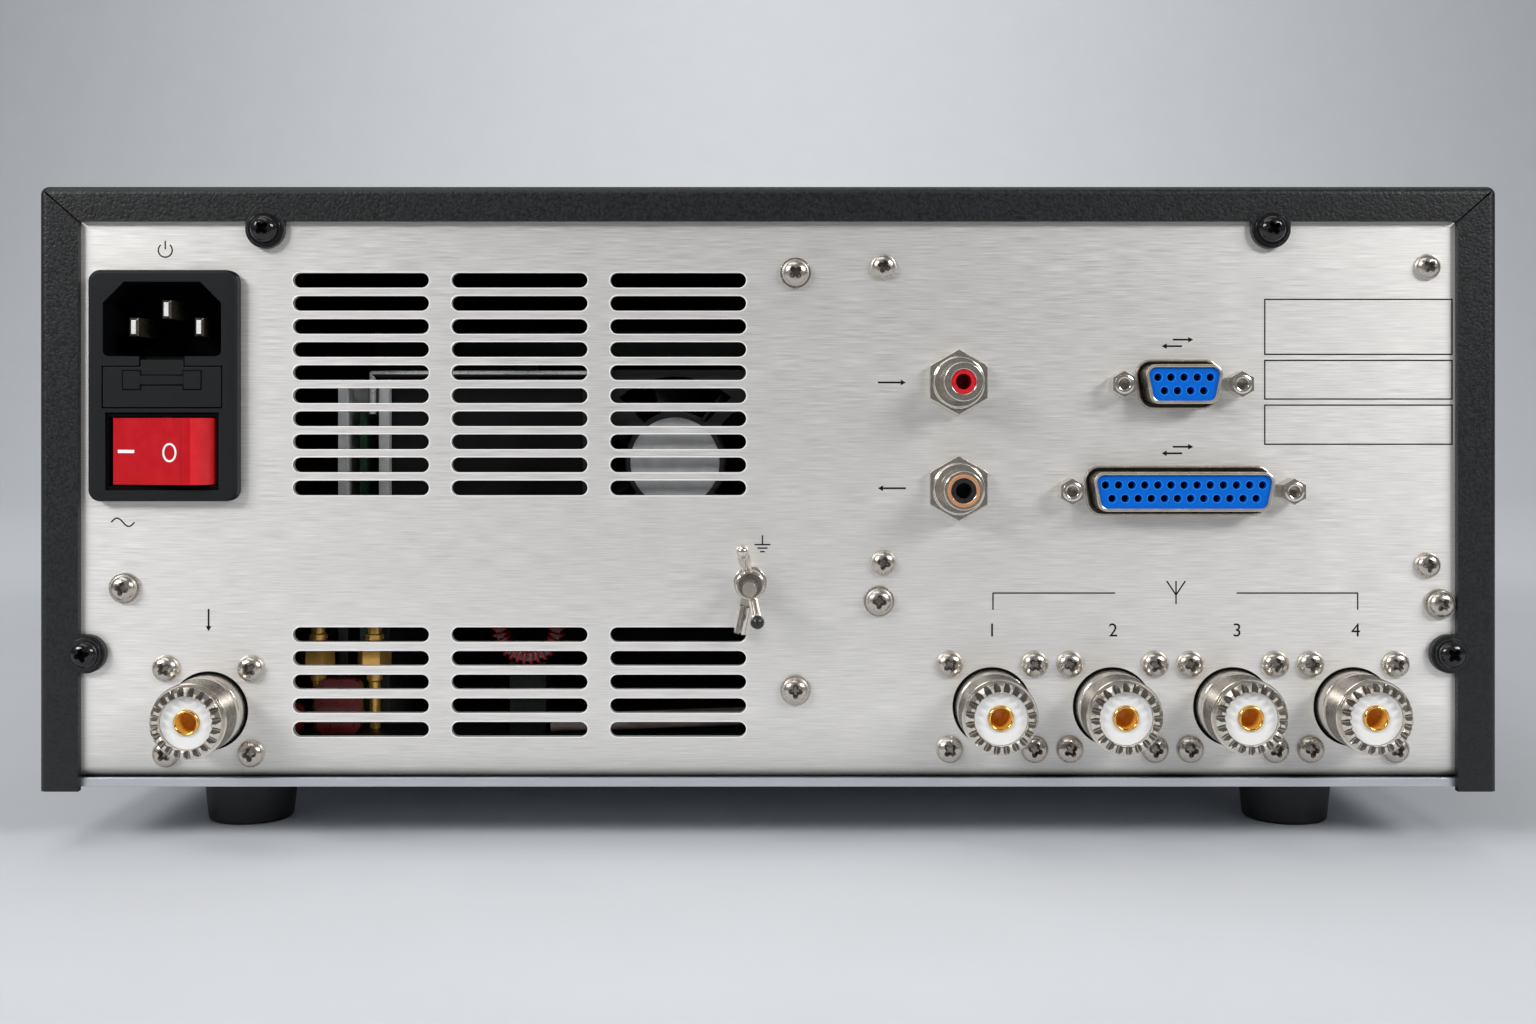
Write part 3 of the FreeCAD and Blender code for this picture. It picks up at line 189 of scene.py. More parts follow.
PANEL = brushed_sheet()
RIM = surface("slot_edge", (0.88, 0.87, 0.85), 0.5, metallic=0.35, mottle=0.01, size=0.6, uneven=0.01)
POWDER = surface("powder_coat", (0.010, 0.0106, 0.0115), 0.40, mottle=0.3, size=0.60, relief=0.10,
                 uneven=0.08, detail=2.0, specular=0.36)
FASCIA = surface("fascia_coat", (0.028, 0.029, 0.031), 0.38, mottle=0.10, size=0.35, relief=0.012)
MILL = surface("mill_sheet", (0.62, 0.64, 0.67), 0.38, metallic=1.0, mottle=0.05, size=0.4,
               stretch=(0.05, 1, 1), relief=0.004)
NICKEL = surface("nickel", (0.72, 0.67, 0.60), 0.17, metallic=0.88, mottle=0.05, size=0.8,
                 uneven=0.04, relief=0.003)
STEEL = surface("plated_steel", (0.52, 0.48, 0.43), 0.24, metallic=0.85, mottle=0.05, size=0.7,
                uneven=0.06, relief=0.004)
# Dark metal of painted shade, for the ports' shells in the gap behind their rims and the inlet blades'
# sides.
SHELL_SHADE = surface("shell_side_shade", (0.15, 0.13, 0.105), 0.3, metallic=0.8, mottle=0.1, size=1.6)
BRONZE = surface("nickel_shell", (0.62, 0.55, 0.46), 0.22, metallic=0.7, mottle=0.07, size=1.6,
                 uneven=0.06, relief=0.003)
# Darker nickel of painted shade in the gaps between a socket's teeth.
NOTCH_SHADE = surface("tooth_gap_shade", (0.34, 0.31, 0.275), 0.22, metallic=0.85, mottle=0.1, size=0.8)
# Darker nickel of painted shade, for thread roots and the ground hub's mouth.
GROOVE_SHADE = surface("thread_groove_shade", (0.20, 0.18, 0.155), 0.3, metallic=0.8, mottle=0.1, size=0.8)
GOLD = surface("gold_plate", (0.88, 0.55, 0.16), 0.16, metallic=1.0, size=0.7)
BRASS = surface("gilt_brass", (1.0, 0.56, 0.13), 0.2, metallic=0.5, mottle=0.08, size=0.8, uneven=0.06)
WHITE = surface("white_ptfe", (0.76, 0.765, 0.765), 0.42, mottle=0.015, size=1.2, relief=0.003)
BLACK_PLATE = surface("black_plate", (0.014, 0.014, 0.015), 0.14, metallic=0.2, mottle=0.2, size=0.8,
                      uneven=0.06)
MOULDED = surface("moulded_black", (0.0108, 0.0118, 0.0132), 0.46, mottle=0.12, size=0.22, relief=0.012,
                  uneven=0.06, specular=0.17)
SMOOTH_BLACK = surface("smooth_black", (0.016, 0.016, 0.017), 0.3, mottle=0.1, size=0.9)
RED = surface("rocker_red", (0.50, 0.006, 0.012), 0.22, mottle=0.05, size=2.5, uneven=0.03, coat=0.3)
# Lighter red of a painted highlight on the rocker's raised end.
RED_LIT_END = surface("rocker_red_highlight", (0.66, 0.020, 0.026), 0.2, size=2.5, uneven=0.03, coat=0.4)
JACK_RED = surface("jack_red", (0.56, 0.012, 0.02), 0.3, mottle=0.08, size=0.7)
ORANGE = surface("copper_ring", (0.80, 0.36, 0.16), 0.35, metallic=0.55, mottle=0.08, size=0.6)
BLUE = surface("insert_blue", (0.0, 0.115, 0.56), 0.45, mottle=0.05, size=0.6, relief=0.003, specular=0.12)
# Deeper amber of painted shade inside the gold contacts' bores.
BORE_SHADE_AMBER = surface("contact_bore_shade", (0.80, 0.42, 0.07), 0.3, mottle=0.15, size=1.4)
# Darker steel of painted shade in the screws' recesses.
RECESS_SHADE = surface("recess_steel_shade", (0.30, 0.27, 0.24), 0.3, metallic=0.9, mottle=0.3, size=0.4)
# Lighter blue of a painted highlight round the pin holes' edges.
PIN_RIM_HIGHLIGHT = surface("pin_rim_highlight_blue", (0.010, 0.26, 0.80), 0.35, mottle=0.05, size=0.4)
# Black of painted shade, for gaps, hollows and insides where no light reaches.
SHADE_BLACK = surface("painted_shade_black", (0.003, 0.003, 0.003), 0.6, mottle=0.1, specular=0.04)
INK = surface("panel_ink", (0.008, 0.008, 0.009), 0.5, mottle=0.1, size=0.3, specular=0.1)
PAINT = surface("white_paint", (0.86, 0.86, 0.86), 0.4, mottle=0.02, size=0.4)
RUBBER = surface("foot_rubber", (0.012, 0.012, 0.013), 0.62, mottle=0.2, size=0.5, relief=0.012)
SUPPLY = surface("supply_steel", (0.009, 0.0094, 0.0098), 0.45, mottle=0.15, size=6.0, relief=0.002,
                 specular=0.2)
PLATE = surface("zinc_plate", (0.92, 0.94, 0.95), 0.4, mottle=0.12, size=4.0, relief=0.003)
ROD = surface("bright_rod", (0.9, 0.9, 0.9), 0.3, metallic=0.3, mottle=0.04)
# Painted shade: the supply's case and plates darken towards the floor of the case, where less light reaches
# through the slots.
for shaded_inner_finish in (SUPPLY, PLATE):
    tone_along(shaded_inner_finish, "Z", SUPPLY_SHADE_Z, SUPPLY_SHADE_TONES)
BOARD = surface("circuit_board", (0.014, 0.070, 0.035), 0.35, mottle=0.35, size=1.6, detail=1.0,
                relief=0.006)
BOARD_BLACK = surface("board_black", (0.006, 0.008, 0.007), 0.4, mottle=0.3, size=1.6, relief=0.006,
                      specular=0.2)
FAN = surface("fan_black", (0.014, 0.014, 0.015), 0.42, mottle=0.12, size=0.6, relief=0.004)
LABEL = surface("fan_label", (0.50, 0.51, 0.52), 0.34, metallic=0.35, mottle=0.10, size=3.0)
SINK = surface("sink_anodised", (0.030, 0.031, 0.033), 0.4, metallic=0.5, size=0.6,
               stretch=(1, 0.03, 1), relief=0.005)
PART_BLACK = surface("component_black", (0.03, 0.03, 0.033), 0.5, mottle=0.15, size=0.7, relief=0.006)
CORE = surface("toroid_core", (0.26, 0.27, 0.28), 0.55, mottle=0.15, size=0.5, relief=0.01)
WIRE_RED = surface("enamel_red", (0.34, 0.018, 0.022), 0.25, mottle=0.15, size=0.6, coat=0.4)
DIPPED = surface("dipped_red", (0.11, 0.010, 0.010), 0.3, mottle=0.12, size=1.5, relief=0.01)
SLEEVE = surface("wire_sleeve", (0.16, 0.13, 0.115), 0.5, mottle=0.35, stretch=(0.2, 1, 1))
SMOKED = surface("smoked_window", (0.003, 0.004, 0.005), 0.05, mottle=0.1, size=8.0, uneven=0.02, coat=0.6)
KEYCAP = surface("key_cap", (0.15, 0.155, 0.16), 0.45, mottle=0.08, size=0.3, relief=0.006)
GLASS_TUBE = surface("fuse_tube", (0.55, 0.58, 0.58), 0.15, metallic=0.3, mottle=0.05)


# ---- Mesh helpers ----
def add_piece(name, mesh, finish, body=ROOT, instead_of=()):
    """Adds a mesh as a piece of a body, in a finish, in place of some CAD nodes."""
    piece = bpy.data.objects.new(name, mesh)
    link(piece)
    mesh.name = name
    if not mesh.materials:
        mesh.materials.append(finish)
    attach(piece, body)
    if instead_of:
        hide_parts(*instead_of)
    return piece


def plain_mesh(bm):
    """Mesh from a bmesh, which is freed, with outward normals."""
    bmesh.ops.recalc_face_normals(bm, faces=bm.faces)
    mesh = bpy.data.meshes.new("mesh")
    bm.to_mesh(mesh)
    bm.free()
    return mesh


def smooth_to(mesh, crease):
    """Shades a mesh smooth up to a crease angle."""
    mesh.shade_smooth()
    mesh.set_sharp_from_angle(angle=math.radians(crease))
    return mesh


def finished_mesh(bm, crease=35.0):
    """Mesh from a bmesh, with outward normals and smooth shading up to a crease angle."""
    return smooth_to(plain_mesh(bm), crease)


def evaluated_mesh(holder):
    """Mesh as an object's modifiers or curve make it; the object goes."""
    link(holder)
    bpy.context.view_layer.update()
    graph = bpy.context.evaluated_depsgraph_get()
    mesh = bpy.data.meshes.new_from_object(holder.evaluated_get(graph))
    bpy.data.objects.remove(holder)
    return mesh


def mark_faces(mesh, chosen, index=1):
    """Puts the faces that a test picks into another material slot."""
    for polygon in mesh.polygons:
        if chosen(polygon):
            polygon.material_index = index


def set_finishes(mesh, *finishes):
    for finish in finishes:
        mesh.materials.append(finish)


def round_angles(count):
    return [2 * math.pi * i / count for i in range(count)]


def bridge(bm, low, high):
    """Band of faces between two closed loops of vertices."""
    for i in range(len(low)):
        j = (i + 1) % len(low)
        bm.faces.new((low[i], low[j], high[j], high[i]))


def turned(profile, segments=48, closed=False):
    """Mesh of (radius, out) points revolved about the axis that stands out of the rear."""
    bm = bmesh.new()
    rings = []
    for radius, out in profile:
        if radius == 0:
            rings.append([bm.verts.new((0, -out, 0))] * segments)
            continue
        rings.append([bm.verts.new((radius * math.cos(a), -out, radius * math.sin(a)))
                      for a in round_angles(segments)])
    pairs = list(zip(rings, rings[1:]))
    if closed:
        pairs.append((rings[-1], rings[0]))
    for low, high in pairs:
        for i in range(segments):
            j = (i + 1) % segments
            corners = []
            for vertex in (low[i], low[j], high[j], high[i]):
                if vertex not in corners:
                    corners.append(vertex)
            if len(corners) > 2:
                bm.faces.new(corners)
    return plain_mesh(bm)


def block(bm, low, high):
    """Box between two corners."""
    for vertex in bmesh.ops.create_cube(bm, size=1.0)["verts"]:
        vertex.co = Vector([low[k] + (vertex.co[k] + 0.5) * (high[k] - low[k]) for k in range(3)])


def loft(bm, loops):
    """Closed solid through loops of the same number of points, capped at both ends."""
    rings = [[bm.verts.new(p) for p in loop] for loop in loops]
    for low, high in zip(rings, rings[1:]):
        bridge(bm, low, high)
    bm.faces.new(list(reversed(rings[0])))
    bm.faces.new(rings[-1])


def cut(mesh, cutter):
    """The mesh less the cutter's volume; what it cuts takes the cutter's finish, if it has one."""
    body = bpy.data.objects.new("cut_body", mesh)
    tool = bpy.data.objects.new("cut_tool", cutter)
    link(tool)
    modifier = body.modifiers.new("cut", "BOOLEAN")
    modifier.operation = "DIFFERENCE"
    modifier.solver = "EXACT"
    modifier.material_mode = "TRANSFER"
    modifier.object = tool
    result = evaluated_mesh(body)
    bpy.data.objects.remove(tool)
    return result


def copy_into(bm, template, move):
    """Adds a moved copy of a template's faces to a bmesh."""
    before = len(bm.verts)
    bm.from_mesh(template)
    bm.verts.ensure_lookup_table()
    bmesh.ops.transform(bm, matrix=move, verts=bm.verts[before:])


def placed(place, turn=0.0):
    """Matrix that takes a shape in millimetres to a place in metres, turned about its out axis."""
    return Matrix.Translation(place) @ Matrix.Rotation(turn, 4, "Y") @ Matrix.Scale(MM, 4)


def placed_copies(template, places, turns=None, crease=35.0):
    """One mesh of copies of a template drawn in millimetres, each at a place in metres."""
    bm = bmesh.new()
    for place, turn in zip(places, turns or [0.0] * len(places)):
        copy_into(bm, template, placed(place, turn))
    return finished_mesh(bm, crease)


def solid_boxes(node):
    """(low, high) corners of each separate solid of a CAD node, in order of x, then z."""
    bm = bmesh.new()
    bm.from_mesh(nodes[node].data)
    bmesh.ops.remove_doubles(bm, verts=bm.verts, dist=0.001 * MM)
    boxes = []
    unseen = set(bm.verts)
    while unseen:
        stack = [unseen.pop()]
        low, high = stack[0].co.copy(), stack[0].co.copy()
        while stack:
            vertex = stack.pop()
            low = Vector(map(min, low, vertex.co))
            high = Vector(map(max, high, vertex.co))
            for edge in vertex.link_edges:
                other = edge.other_vert(vertex)
                if other in unseen:
                    unseen.remove(other)
                    stack.append(other)
        boxes.append((low, high))
    bm.free()
    return sorted(boxes, key=lambda b: (round(b[0].x, 5), round(b[0].z, 5)))


WELD_REACH = 0.002
SHARP_ANGLE = 40


def dress(node, finish, edge=0.0, segments=2):
    """Gives a CAD node its finish and, with an edge width in millimetres, softly broken edges."""
    piece = nodes[node]
    piece.data.materials.clear()
    piece.data.materials.append(finish)
    if edge:
        piece.data.attributes.remove(piece.data.attributes["custom_normal"])
        weld = piece.modifiers.new("weld", "WELD")
        weld.merge_threshold = WELD_REACH * MM
        bevel = piece.modifiers.new("edge", "BEVEL")
        bevel.width = edge * MM
        bevel.segments = segments
        bevel.limit_method = "ANGLE"
        bevel.angle_limit = math.radians(SHARP_ANGLE)
        bevel.harden_normals = True
        piece.data.shade_smooth()
    return piece


# ---- Screws ----
COVER_SEAT = (FACE_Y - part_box("cover_washers")[0].y) / MM
# A head's outline and its recess, as shares of its radius and height.
HEAD_SHAPE = ((0, 1.0), (0.25, 0.99), (0.48, 0.94), (0.68, 0.83), (0.84, 0.64), (0.94, 0.42),
              (1.0, 0.16), (0.99, 0.0))
RECESS_SHAPE = ((0.30, 0.09, -0.28), (0.50, 0.155, -0.86), (0.64, 0.21, -1.05))
RECESS_WEB = 1.12


def cross_loop(length, width, y, steps=4):
    """Outline of a cross recess at one depth, from the reach and half width of its round arms."""
    loop = []
    for quarter in range(4):
        turn = Matrix.Rotation(quarter * math.pi / 2, 3, "Y")
        for k in range(steps + 1):
            a = math.pi * (1 - k / steps)
            loop.append(turn @ Vector((width * math.cos(a), y, length - width + width * math.sin(a))))
        loop.append(turn @ Vector((width * RECESS_WEB, y, width * RECESS_WEB)))
    return loop


def pan_head(radius, height, finish, inside):
    """Domed screw head with a cross recess, seated at y = 0."""
    head = turned([(radius * r, height * h) for r, h in HEAD_SHAPE] + [(0, 0)])
    head.materials.append(finish)
    bm = bmesh.new()
    loft(bm, [cross_loop(reach * radius, width * radius, y * height) for reach, width, y in RECESS_SHAPE])
    recess = plain_mesh(bm)
    # The recess's faces take the inside finish, painted shade.
    recess.materials.append(inside)
    return cut(head, recess)


def make_screws():
    draw = random.Random(11)
    # Each row's inside finish, darker than its head, is painted shade in the recess.
    for node, finish, inside, slot in (
        ("coax_screws", STEEL, RECESS_SHADE, "screw_steel"),
        ("panel_screws", STEEL, RECESS_SHADE, "screw_steel"),
        ("cover_screws", BLACK_PLATE, SHADE_BLACK, "black_screws"),
    ):
        templates = {}
        bm = bmesh.new()
        for low, high in solid_boxes(node):
            radius = (high.x - low.x) / 2 / MM
            seat_out = (FACE_Y - high.y) / MM if node != "cover_screws" else COVER_SEAT
            height = (FACE_Y - low.y) / MM - seat_out
            key = (round(radius, 2), round(height, 2))
            if key not in templates:
                templates[key] = pan_head(radius, height, finish, inside)
            turn = draw.uniform(0, math.pi / 2)
            copy_into(bm, templates[key], placed(on_face((low + high) / 2, seat_out), turn))
        mesh = finished_mesh(bm, 32.0)
        set_finishes(mesh, finish, inside)
        add_piece(node + "_heads", mesh, finish, instead_of=[node])
    dress("panel_screw_washers", STEEL, 0.12)
    dress("cover_washers", BLACK_PLATE, 0.1)
    dress("foot_screws", STEEL, 0.2)


# ---- Coax sockets ----
BARREL_R = 7.94
BORE_R = 5.6
CROWN_R = 7.4
CROWN_LENGTH = 2.7
RIM_CHAMFER = 0.8
THREAD_PITCH = 0.8
THREAD_DEPTH = 0.30
THREAD_END = 6.6
COLLAR_OUT = 4.5
NECK_R = 7.5
NECK_OUT = 0.3
GAP_R = 8.5
TEETH = 20
TOOTH_GAP = 1.5
TOOTH_DEPTH = 1.3
FLANGE = 25.0
PANEL_THICKNESS = 1.6
FLANGE_THICKNESS = 1.6
SHELL_TURNS = (0.05, 0.0, 0.11, 0.2, 0.07)
CONTACT_R = 2.65
CONTACT_BORE_R = 2.1
CONTACT_FLOOR_R = 0.9
CUP_R = 1.5
BORE_DEPTH = 4.6
FLOOR_DEPTH = 5.6


def coax_shell(reach, rear_out):
    """Shell of a coax socket about its axis; out is measured from the panel's face."""
    step = reach - CROWN_LENGTH
    root = BARREL_R - THREAD_DEPTH
    rim = reach - RIM_CHAMFER
    profile = [
        (BORE_R, rear_out), (BORE_R, reach - 0.2), (BORE_R + 0.2, reach),
        (CROWN_R - RIM_CHAMFER, reach), (CROWN_R - 0.1, rim), (CROWN_R, rim - 0.1),
        (CROWN_R, step + 0.1), (CROWN_R - 0.12, step), (BARREL_R - 0.15, step), (BARREL_R, step - 0.15),
    ]
    out = step - 0.35
    while out > THREAD_END:
        profile += [(BARREL_R, out), (root, out - 0.40 * THREAD_PITCH),
                    (root, out - 0.55 * THREAD_PITCH), (BARREL_R, out - 0.9 * THREAD_PITCH)]
        out -= THREAD_PITCH
    profile += [
        (BARREL_R, COLLAR_OUT + 0.25), (BARREL_R - 0.25, COLLAR_OUT + 0.1),
        (BARREL_R - 0.25, COLLAR_OUT - 0.1), (BARREL_R, COLLAR_OUT - 0.25),
        (BARREL_R, NECK_OUT + 0.2), (BARREL_R - 0.2, NECK_OUT), (NECK_R, NECK_OUT), (NECK_R, rear_out),
    ]
    shell = turned(profile, 96, closed=True)
    # Painted shade: the thread roots take the darker nickel.
    mark_faces(shell, lambda face: root - 0.05 < math.hypot(face.center.x, face.center.z) < BARREL_R - 0.1
               and -face.center.y > THREAD_END - THREAD_PITCH)
    set_finishes(shell, NICKEL, GROOVE_SHADE)
    bm = bmesh.new()
    for i in range(TEETH):
        turn = Matrix.Rotation(2 * math.pi * (i + 0.5) / TEETH, 3, "Y")
        loops = []
        for radius, share in ((BORE_R - 0.6, 0.72), (CROWN_R + 0.6, 1.05)):
            half = TOOTH_GAP * share / 2
            base = reach - TOOTH_DEPTH * share
            loops.append([turn @ Vector((radius, -out, z)) for out, z in (
                (reach + 1, -half * 1.75), (reach + 1, half * 1.75), (base + 0.12, half * 0.42),
                (base, half * 0.2), (base, -half * 0.2), (base + 0.12, -half * 0.42))])
        loft(bm, loops)
    # The notches' faces take painted shade where they cut the teeth.
    notches = plain_mesh(bm)
    notches.materials.append(NOTCH_SHADE)
    return cut(shell, notches)


def coax_contact(front_out, rear_out, cup_out):
    """Sleeve with a rolled lip and a solder cup behind; the second finish, a deeper amber of painted shade,
    is that of its bore's inside.
    """
    middle, roll = (CONTACT_R + CONTACT_BORE_R) / 2, (CONTACT_R - CONTACT_BORE_R) / 2
    lip = [(middle + roll * math.cos(a), front_out - roll + roll * math.sin(a))
           for a in (math.pi * k / 6 for k in range(7))]
    floor_out = front_out - FLOOR_DEPTH
    mesh = turned([(0, cup_out), (CUP_R, cup_out), (CUP_R, rear_out), (CONTACT_R, rear_out)] + lip
                  + [(CONTACT_BORE_R, front_out - BORE_DEPTH), (CONTACT_FLOOR_R, floor_out), (0, floor_out)])
    mark_faces(mesh, lambda face: math.hypot(face.center.x, face.center.z) < CONTACT_BORE_R + 0.01
               and floor_out - 0.4 < -face.center.y < front_out - roll * 1.2)
    return mesh


def make_coax():
    low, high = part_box("rf_input_socket")
    reach = (FACE_Y - low.y) / MM
    template = coax_shell(reach, (FACE_Y - high.y) / MM)
    half = FLANGE / 2
    bm = bmesh.new()
    bm.from_mesh(template)
    block(bm, (-half, PANEL_THICKNESS, -half), (half, PANEL_THICKNESS + FLANGE_THICKNESS, half))
    template = plain_mesh(bm)
    places = [on_face(axis) for axis in COAX_AXES]
    for name, node, which in (("rf_input_shell", "rf_input_socket", slice(0, 1)),
                              ("antenna_shells", "antenna_sockets", slice(1, None))):
        mesh = placed_copies(template, places[which], SHELL_TURNS[which], 28.0)
        set_finishes(mesh, NICKEL, GROOVE_SHADE, NOTCH_SHADE)
        add_piece(name, mesh, NICKEL, instead_of=[node])
    # Painted shade: a black ring in the gap round each barrel, where it passes through the panel.
    gap = turned([(NECK_R, -0.2), (NECK_R, 0.03), (GAP_R, 0.03), (GAP_R, -0.2)], 64, closed=True)
    add_piece("coax_gap_shade", placed_copies(gap, places), SHADE_BLACK)
    dress("coax_insulators", WHITE, 0.15)
    low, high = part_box("coax_contacts")
    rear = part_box("coax_insulators")[1]
    contact = coax_contact(*((FACE_Y - y) / MM for y in (low.y, rear.y, high.y)))
    mesh = placed_copies(contact, places)
    set_finishes(mesh, GOLD, BORE_SHADE_AMBER)
    add_piece("contact_sleeves", mesh, GOLD, instead_of=["coax_contacts"])


# ---- Phono jacks ----
# Section of the ring round one jack: radius, and distance out of the jack's front.
COPPER_RING = ((2.7, -0.3), (2.7, -0.02), (2.82, 0.1), (3.3, 0.1), (3.42, -0.02), (3.42, -0.3))


def make_jacks():
    for node in ("key_in_jack", "key_out_jack", "jack_nuts"):
        dress(node, NICKEL, 0.25, 3)
    dress("key_in_insulator", JACK_RED, 0.15)
    dress("key_out_insulator", SMOOTH_BLACK, 0.15)
    front_out = (FACE_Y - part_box("key_out_jack")[0].y) / MM
    ring = turned([(radius, front_out + out) for radius, out in COPPER_RING], 64, closed=True)
    mesh = placed_copies(ring, [on_face(mounts["key_out_shell"])])
    add_piece("key_out_ring", mesh, ORANGE)


# ---- D-shaped ports ----
PIN_PITCH = 2.77
PIN_ROWS = 2.84
PIN_HOLE_R = 0.82
PIN_RIM_R = 1.0
PORT_SLANT = 1.45
PORT_CORNER_R = 2.1
PORT_WALL = 0.5
INSERT_OVERHANG = 1.0
FACE_THICKNESS = 4.0
BACK_THICKNESS = 2.6
EDGE_THICKNESS = 1.75
EDGE_OUT = 0.3
LIP_THICKNESS = 0.7
LIP_OUT = 0.1
RIM_THICKNESS = 0.1
RIM_RAISED = 0.06
JACKSCREW_LIP = ((1.22, -0.3), (1.25, 0.05), (1.45, 0.16), (1.75, 0.14), (2.05, 0.0), (2.1, -0.1))


def d_corners(width, height, slant, radius, steps=6):
    """Outline of a D shape, wide edge up, its corners rounded."""
    half, low = width / 2, width / 2 - slant
    corners = [(half, height / 2), (low, -height / 2), (-low, -height / 2), (-half, height / 2)]
    outline = []
    for i in range(4):
        before, here, after = (Vector(corners[(i + k) % 4]) for k in (-1, 0, 1))
        a, b = (before - here).normalized(), (after - here).normalized()
        reach = radius / math.tan(a.angle(b) / 2)
        centre = here + (a + b).normalized() * (radius / math.sin(a.angle(b) / 2))
        start, end = here + a * reach - centre, here + b * reach - centre
        for k in range(steps + 1):
            point = start.lerp(end, k / steps).normalized() * radius
            outline.append(centre + point)
    return outline


def flat_shape(outlines, thickness, round_off=0.0):
    """Plate across y from closed outlines in x and z, the inner ones holes; its front is at y = 0."""
    curve = bpy.data.curves.new("outline", "CURVE")
    curve.dimensions = "2D"
    curve.fill_mode = "BOTH"
    curve.extrude = thickness / 2 - round_off
    curve.bevel_depth = round_off
    curve.bevel_resolution = 1
    curve.offset = -round_off
    for outline in outlines:
        spline = curve.splines.new("POLY")
        spline.points.add(len(outline) - 1)
        for point, (x, z) in zip(spline.points, outline):
            point.co = (x, z, 0, 1)
        spline.use_cyclic_u = True
    mesh = evaluated_mesh(bpy.data.objects.new("outline", curve))
    mesh.transform(Matrix.Translation((0, thickness / 2, 0)) @ Matrix.Rotation(math.pi / 2, 4, "X"))
    return mesh


def circle(x, z, radius, steps=20):
    return [(x + radius * math.cos(a), z + radius * math.sin(a)) for a in round_angles(steps)]


def hole(x, z, radius):
    """Circle that runs the other way round, so that a rounded edge widens it."""
    return circle(x, z, radius)[::-1]


def pin_holes(upper, lower):
    """Middles of two rows of holes."""
    holes = []
    for count, z in ((upper, PIN_ROWS / 2), (lower, -PIN_ROWS / 2)):
        holes += [((i - (count - 1) / 2) * PIN_PITCH, z) for i in range(count)]
    return holes


def joined(meshes):
    bm = bmesh.new()
    for mesh in meshes:
        bm.from_mesh(mesh)
    return finished_mesh(bm)


def facing(mesh, finish, place, crease=40.0):
    """Gives a shape drawn in millimetres its finish and its place."""
    mesh.materials.clear()
    mesh.materials.append(finish)
    mesh.transform(placed(place))
    return smooth_to(mesh, crease)


def port_outline(width, height, grow):
    return d_corners(width + 2 * grow, height + 2 * grow, PORT_SLANT, PORT_CORNER_R + grow)


def make_ports():
    for name, upper, lower in (("port_9", 5, 4), ("port_25", 13, 12)):
        low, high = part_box(name + "_insert")
        centre = mounts[name + "_screws"]
        size = (high.x - low.x) / MM - 2 * INSERT_OVERHANG, (high.z - low.z) / MM
        outline = port_outline(*size, -PORT_WALL)
        holes = pin_holes(upper, lower)
        face = flat_shape([outline] + [hole(x, z, PIN_HOLE_R) for x, z in holes], FACE_THICKNESS, 0.08)
        # Painted highlight: a ring of lighter blue round each pin hole.
        rim_highlights = joined([flat_shape([circle(x, z, PIN_RIM_R), hole(x, z, PIN_HOLE_R + 0.06)], RIM_THICKNESS)
                       for x, z in holes])
        rim_highlights.transform(Matrix.Translation((0, -RIM_RAISED, 0)))
        # Painted shade: a black plate behind the face, seen at the bottom of the pin holes.
        back = flat_shape([outline], BACK_THICKNESS)
        back.transform(Matrix.Translation((0, FACE_THICKNESS + 0.05, 0)))
        edge = flat_shape([port_outline(*size, 1.15), port_outline(*size, 0.72)], EDGE_THICKNESS, 0.15)
        lip = flat_shape([port_outline(*size, 0.03), port_outline(*size, -0.62)], LIP_THICKNESS, 0.2)
        face_place = Vector((centre.x, low.y, centre.z))
        lip_place = Vector((centre.x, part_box(name + "_shell")[0].y - LIP_OUT * MM, centre.z))
        for part, mesh, finish, place, slot, replaced in (
            ("_lip", lip, BRONZE, lip_place, "nickel", ()),
            ("_face", face, BLUE, face_place, "blue_insert", [name + "_insert"]),
            ("_rim_highlights", rim_highlights, PIN_RIM_HIGHLIGHT, face_place, "blue_insert", ()),
            ("_back", back, SHADE_BLACK, face_place, "blue_insert", ()),
            ("_edge", edge, BRONZE, on_face(centre, EDGE_OUT), "nickel", ()),
        ):
            add_piece(name + part, facing(mesh, finish, place), finish, instead_of=replaced)
        # Painted shade: the shell, in the gap behind its rim, takes the dark metal.
        dress(name + "_shell", SHELL_SHADE, 0.18)
    dress("jackscrews", NICKEL, 0.3, 3)
    places = [Vector(((low.x + high.x) / 2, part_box("jackscrews")[0].y, (low.z + high.z) / 2))
              for low, high in solid_boxes("jackscrews")]
    add_piece("jackscrew_lips", placed_copies(turned(JACKSCREW_LIP), places), NICKEL)


# ---- Mains inlet, drawer and rocker ----
INLET_DEPTH = 24
INLET_SKIN = 0.3
# The raised sign of a fuse: two squares and the bar between them, about the middle of the drawer.
FUSE_MARK_HEIGHT = 5.77
FUSE_MARK = ((-8.25, -4.65, 1.9), (4.65, 8.25, 1.9), (-4.65, 4.65, 0.94))
# The rocker's dash and ring, from the crease at its face's right end and from its middle height.
DASH = (-14.78, -11.02, -0.38, 0.32)
RING_PLACE = (-2.98, -0.25)
RING_SIZE = (1.6, 2.04)
RING_STROKE = 0.42
RING_STEPS = 40


def darken_inside(node, low, high, finish):
    """Gives the faces of a node within a box a black of painted shade, for where no light reaches."""
    mesh = nodes[node].data
    mesh.materials.append(finish)
    mark_faces(mesh, lambda face: all(low[k] <= face.center[k] <= high[k] for k in range(3)),
               len(mesh.materials) - 1)


